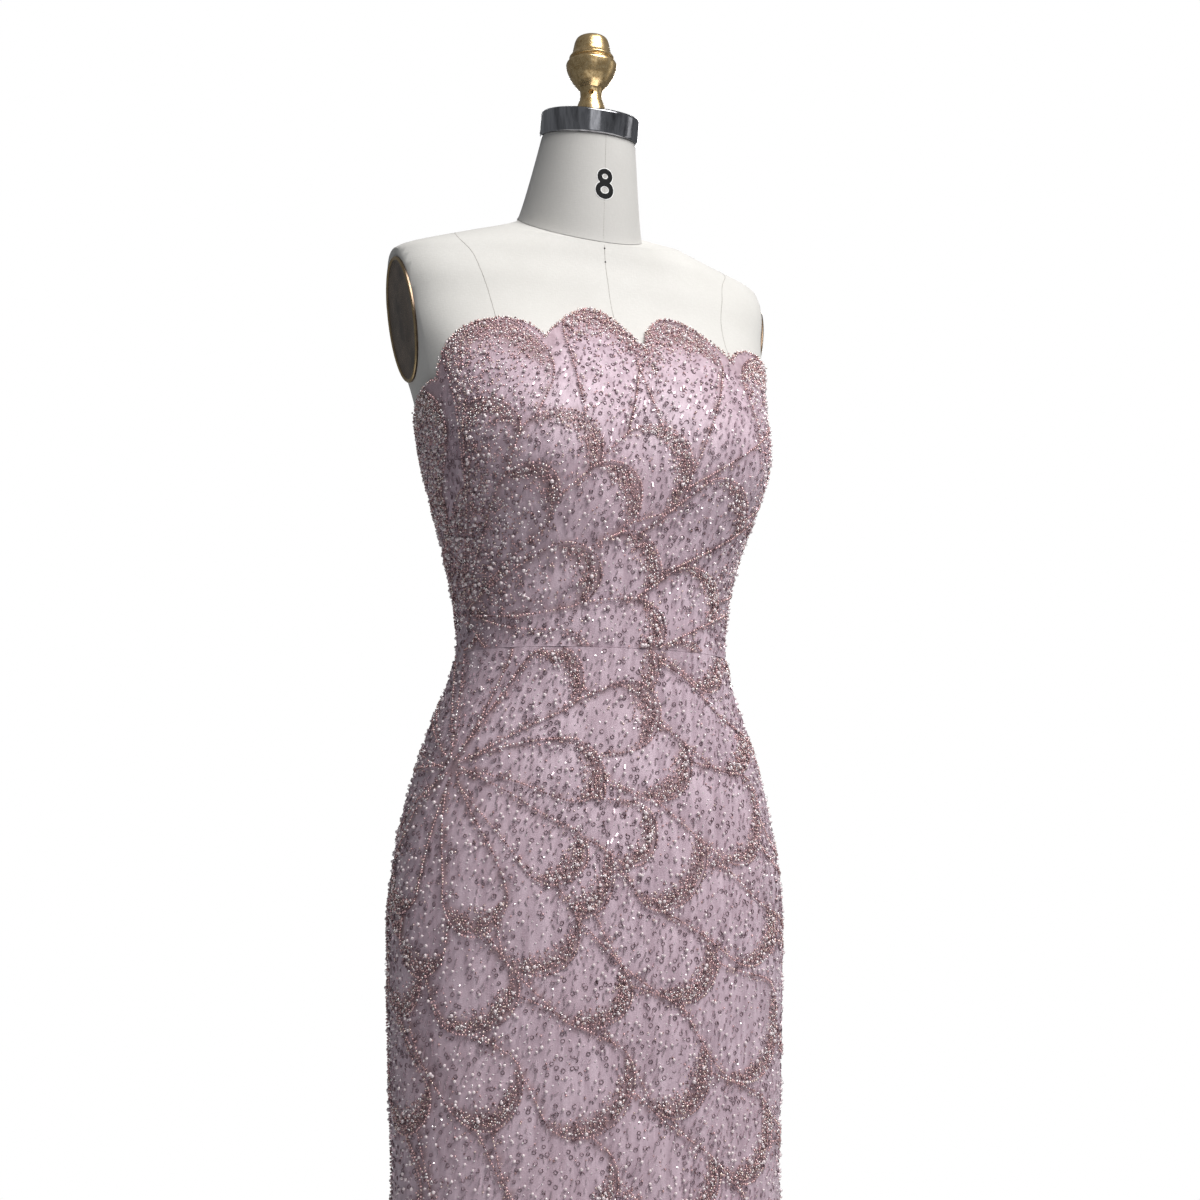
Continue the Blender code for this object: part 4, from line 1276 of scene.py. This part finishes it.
def make_stand(black):
    base = rounded([
        (0.0, BASE_RADIUS - BASE_BEVEL), (BASE_BEVEL, BASE_RADIUS), (BASE_HEIGHT - BASE_BEVEL, BASE_RADIUS),
        (BASE_HEIGHT, BASE_RADIUS - BASE_BEVEL), (BASE_HEIGHT, 0.0005),
    ], 0.002)
    add_piece("base_plate", turned_mesh("base_plate", base, SIDES), [black], "stand_metal", "stand_base")
    low = BASE_HEIGHT + SEAM_GAP
    high = WAIST_Z + FORM_BOTTOM - 0.0004
    pole = rounded([
        (low, 0.0005), (low, FLANGE_RADIUS), (low + FLANGE_HEIGHT, FLANGE_RADIUS - 0.001),
        (low + FLANGE_HEIGHT + 0.0005, POLE_RADIUS + 0.003), (low + FLANGE_HEIGHT + 0.006, POLE_RADIUS),
        (high - FLANGE_HEIGHT - 0.004, POLE_RADIUS), (high - FLANGE_HEIGHT, POLE_RADIUS + 0.002),
        (high - FLANGE_HEIGHT, FLANGE_RADIUS), (high, FLANGE_RADIUS), (high, 0.0005),
    ], 0.001)
    add_piece("pole", turned_mesh("pole", pole, 64), [black], "stand_metal", "stand_pole")


def make_zip(tape, metal):
    """The zip's tape and its small interlocked teeth, from the top edge to its end below the waist."""
    top = top_edge_at(180.0) - ZIP_TOP_GAP
    levels = np.arange(ZIP_END + SEAM_GAP, top, 0.004)
    half = np.array([turn_for(ZIP_WIDTH / 2, 180.0, level) for level in levels])
    turns = 180.0 + np.linspace(-1.0, 1.0, 5)[:, None] * half
    heights = np.broadcast_to(levels, turns.shape)
    mesh = shell_mesh("zip_tape_strip", turns, heights, np.full(turns.shape, -0.0007), np.zeros(turns.shape))
    add_piece("zip_tape_strip", mesh, [tape], "zip_tape", "zip_chain")

    marks = np.arange(ZIP_END + 0.002, top - 0.0005, 0.0014)
    side = np.where(np.arange(len(marks)) % 2, 1.0, -1.0)
    turn = 180.0 + side * [turn_for(0.0007, 180.0, mark) for mark in marks]
    frames = lying_frames(turn, marks, np.zeros(len(marks)), 0.0)
    teeth = Batch(BUGLE, offset_points(turn, marks, 0.00135), frames, (0.00115, 0.00045, 0.00045), 0, False)
    add_beads("zip_teeth", [teeth], [metal], "zip_tape")


def eased(values, rounds=40):
    """The values with their corners smoothed and their ends kept."""
    values = values.copy()
    for _ in range(rounds):
        values[1:-1] = (values[:-2] + 2.0 * values[1:-1] + values[2:]) / 4.0
    return values


def surface_ribbon(name, places, out, width, thick, material, slot):
    """A thin closed ribbon along (turn, height) places on the body's surface."""
    places = np.array(places, float)
    run = run_along(places * (0.0025, 1.0))
    marks = np.linspace(0.0, run[-1], max(8, int(run[-1] / 0.003)))
    turn, height = (eased(np.interp(marks, run, column)) for column in places.T)
    points = offset_points(turn, height, out)
    raised = body_frames(turn, height)[2] * thick
    aside = unit(np.cross(raised, unit(np.gradient(points, axis=0)))) * width
    rings = np.stack([
        points - aside * 0.5, points - aside * 0.3 + raised,
        points + aside * 0.3 + raised, points + aside * 0.5,
    ], axis=1)
    add_piece(name, smoothed(mesh_of(name, ring_shape(rings)), 180.0), [material], slot)


def make_gown_seams(thread):
    """The sewn lines between the gown's panels, set into the gaps between them."""
    seams = {
        name: [(turn, level) for turn in np.linspace(-178.6, 178.6, 400)]
        for name, level in (("waist", WAIST_SEAM), ("knee", FLARE_SEAM))
    }
    for word, turn in (("left", 90.0), ("right", -90.0)):
        top = top_edge_at(turn) - 0.003
        for part, low, high in (
            ("bodice", WAIST_SEAM, top), ("skirt", FLARE_SEAM, WAIST_SEAM), ("flare", HEM, FLARE_SEAM)
        ):
            seams[f"{part}_{word}"] = [(turn, low + 0.001), (turn, high - 0.001)]
    seams["centre_back"] = [(180.0, FLARE_SEAM + 0.001), (180.0, ZIP_END - 0.003)]
    for name, places in seams.items():
        surface_ribbon("seam_" + name, places, 0.0001, SEAM_GAP * 0.9, CLOTH - 0.0001, thread, "gown_cloth")


SIDE_SEAMS = {
    "front": ((45.0, 0.262), (47.0, 0.290), (50.5, 0.320), (57.0, 0.350), (67.0, 0.372), (76.0, 0.3805)),
    "back": ((146.0, 0.180), (144.0, 0.260), (138.0, 0.330), (122.0, 0.374)),
    "shoulder": ((88.0, 0.402), (88.0, 0.388), (88.5, 0.378), (89.0, 0.3705)),
    "side": ((90.0, 0.190), (88.0, 0.232)),
}


def make_form_seams(thread, pin):
    """The form's sewn seams: centre front, centre back, and the princess seams on each side."""
    seams = {
        "centre_front": [(0.0, 0.290), (0.0, 0.345), (0.0, 0.373)],
        "centre_back": [(180.0, 0.180), (180.0, 0.300), (180.0, 0.428)],
    }
    for side, word in ((1, "left"), (-1, "right")):
        for name, places in SIDE_SEAMS.items():
            seams[f"{name}_{word}"] = [(side * turn, height) for turn, height in places]
    for name, places in seams.items():
        surface_ribbon("seam_" + name, places, -FORM_INSET, 0.0007, 0.00010, thread, "form_linen")
    marks = np.arange(0.015, 0.985, 0.024)
    centres = np.array([neck_point(mark, 0.0, 0.0001) for mark in marks])
    ahead = unit(np.gradient(centres, axis=0))
    aside = np.tile((1.0, 0.0, 0.0), (len(marks), 1))
    frames = np.stack([ahead, aside, np.cross(ahead, aside)], axis=2)
    stitches = Batch(BUGLE, centres, frames, (0.0008, 0.00022, 0.00022), 0, False)
    add_beads("neck_stitches", [stitches], [thread], "form_linen")
    turn, height = np.zeros(2), np.array([0.3695, 0.3560])
    pins = Batch(
        PEARL, offset_points(turn, height, 0.0002 - FORM_INSET), lying_frames(turn, height, turn, 0.0),
        (0.0009, 0.0009, 0.0005), 0, True,
    )
    add_beads("pin_heads", [pins], [pin], "arm_plate")


# Stage
Lamp = namedtuple("Lamp", "name place aim power width height colour")
LAMPS = (
    Lamp("key", (0.48, -1.60, 3.00), 1.25, 84.0, 1.7, 1.7, (1.0, 0.985, 0.97)),
    Lamp("front", (-0.5, -3.0, 1.3), 0.9, 4.4, 1.2, 1.6, (0.96, 0.97, 1.0)),
    Lamp("rim_right", (2.2, -0.3, 1.4), 0.9, 2.0, 0.5, 1.8, (1.0, 1.0, 1.0)),
    Lamp("back", (1.4, 2.6, 2.4), 1.0, 58.0, 1.4, 1.4, (1.0, 0.99, 0.98)),
)
PHOTO_PIXELS = 1200.0
CAMERA_LENS_PIXELS = 1690.0
CAMERA_SHIFT_PIXELS = (9.0, 106.0)
CAMERA_AZIMUTH = -22.0
CAMERA_PITCH = 5.0
CAMERA_DISTANCE = 1.55
CAMERA_HEIGHT = 0.872


def make_stage():
    side, level = 1.7, -0.0005
    mesh = bpy.data.meshes.new("floor")
    corners = [(-side, -side, level), (side, -side, level), (side, side, level), (-side, side, level)]
    mesh.from_pydata(corners, [], [(0, 1, 2, 3)])
    mesh.materials.append(new_material("floor", (0.86, 0.86, 0.86), 0.7))
    new_object("floor", mesh)

    world = bpy.data.worlds.new("studio")
    bpy.context.scene.world = world
    world.use_nodes = True
    tree = world.node_tree
    fill = tree.nodes["Background"]
    fill.inputs["Color"].default_value = (0.92, 0.95, 1.0, 1.0)
    fill.inputs["Strength"].default_value = 0.17
    shown = tree.nodes.new("ShaderNodeBackground")
    shown.inputs["Color"].default_value = (1.0, 1.0, 1.0, 1.0)
    ray = tree.nodes.new("ShaderNodeLightPath")
    pick = tree.nodes.new("ShaderNodeMixShader")
    for socket, source in enumerate((ray.outputs["Is Camera Ray"], fill.outputs[0], shown.outputs[0])):
        tree.links.new(source, pick.inputs[socket])
    tree.links.new(pick.outputs[0], tree.nodes["World Output"].inputs["Surface"])

    for lamp in LAMPS:
        light = bpy.data.lights.new(lamp.name, "AREA")
        light.shape = "RECTANGLE"
        light.size, light.size_y = lamp.width, lamp.height
        light.energy = lamp.power
        light.color = lamp.colour
        made = new_object(lamp.name, light)
        made.location = lamp.place
        aim = Vector((0.0, 0.0, lamp.aim)) - made.location
        made.rotation_euler = aim.to_track_quat("-Z", "Y").to_euler()

    camera = bpy.data.cameras.new("camera")
    camera.sensor_width = 36.0
    camera.lens = CAMERA_LENS_PIXELS / PHOTO_PIXELS * camera.sensor_width
    camera.shift_x, camera.shift_y = (shift / PHOTO_PIXELS for shift in CAMERA_SHIFT_PIXELS)
    azimuth = math.radians(CAMERA_AZIMUTH)
    made = new_object("camera", camera)
    made.location = (CAMERA_DISTANCE * math.sin(azimuth), -CAMERA_DISTANCE * math.cos(azimuth), CAMERA_HEIGHT)
    made.rotation_euler = (math.radians(90.0 + CAMERA_PITCH), 0.0, azimuth)
    bpy.context.scene.camera = made
    bpy.context.scene.view_settings.view_transform = "Standard"


def bead_materials():
    return [
        new_material("bead_rose", (0.76, 0.50, 0.51), 0.20, 0.55),
        new_material("bead_brown", (0.54, 0.35, 0.345), 0.24, 0.60),
        new_material("bead_crystal", (0.93, 0.87, 0.88), 0.10, 0.50),
        new_material("bead_plum", (0.22, 0.13, 0.145), 0.22, 0.60),
        new_material("bead_champagne", (0.84, 0.68, 0.62), 0.16, 0.65),
        new_material("bead_mirror", (0.97, 0.93, 0.92), 0.05, 1.0),
        new_material("pearl", (0.78, 0.68, 0.70), 0.18, 0.05, Coat_Weight=0.6, Coat_Roughness=0.10),
        new_material("ring_bead", (0.28, 0.19, 0.22), 0.18, 0.45),
        new_material("bugle_bead", (0.56, 0.44, 0.49), 0.16, 0.50),
    ]


def declare_cloth():
    """A record of what a cloth piece is cut to: its flat width and length, the flat area of its shape, and
    held; none is made for any piece.
    """
    Cut = namedtuple("Cut", "width length area held")


def main():
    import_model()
    bodice_petals = fan_petals(BODICE_FAN) + sheaf_petals(BODICE_SHEAF) + upright_petals()
    skirt_petals = fan_petals(SKIRT_FAN) + sheaf_petals(SKIRT_SHEAF)
    satin = satin_material()
    linen = linen_material("form_linen", (0.66, 0.65, 0.625), (0.52, 0.51, 0.48))
    # The neck's linen is a darker copy of the torso's: painted shade on the neck, which faces the key lamp
    # less than the up-tilted chest.
    neck_linen = linen_material("neck_linen", (0.55, 0.54, 0.52), (0.46, 0.45, 0.43))
    chrome = metal_material(
        "polished_chrome", (0.50, 0.50, 0.52), (0.15, 0.15, 0.16), 0.13, 170.0, rise=0.04, relief=0.05
    )
    gold = metal_material("aged_gold", (0.82, 0.61, 0.33), (0.44, 0.29, 0.12), 0.25, 260.0, 0.90, relief=0.22)
    rim_gold = metal_material("rim_gold", (0.60, 0.45, 0.25), (0.42, 0.30, 0.16), 0.22, 160.0)
    bronze = metal_material("dark_bronze", (0.22, 0.155, 0.105), (0.10, 0.075, 0.055), 0.24, 45.0, 0.9)
    black = metal_material("stand_black", (0.030, 0.030, 0.032), (0.018, 0.018, 0.020), 0.42, 200.0, 0.3)
    steel = metal_material("zip_steel", (0.66, 0.65, 0.66), (0.52, 0.50, 0.51), 0.22, 400.0)
    tape = metal_material("zip_tape", (0.50, 0.40, 0.45), (0.42, 0.33, 0.38), 0.70, 900.0, 0.0)
    thread = thread_material("seam_thread", (0.50, 0.48, 0.45), (0.34, 0.32, 0.30))
    mauve = thread_material("mauve_thread", (0.24, 0.17, 0.20), (0.15, 0.10, 0.12))
    ink = new_material("ink", (0.006, 0.006, 0.007), 0.60, Specular_IOR_Level=0.15)
    pale = new_material("pale_ink", (0.86, 0.86, 0.85), 0.6)
    beads = bead_materials()

    cloth = make_cloth(satin, bodice_petals, skirt_petals)
    bead_pieces = make_beads(beads, bodice_petals, skirt_petals)
    make_edge_beads(beads)
    make_torso(linen)
    make_neck(neck_linen, ink, pale)
    make_cap_and_finial(chrome, gold)
    make_arm_plates(bronze, rim_gold)
    make_stand(black)
    make_zip(tape, steel)
    make_gown_seams(mauve)
    make_form_seams(thread, ink)
    for name in ("zip_slider", "zip_pull"):
        materials = bpy.data.objects[name].data.materials
        materials.clear()
        materials.append(steel)
    declare_cloth()
    make_stage()


main()
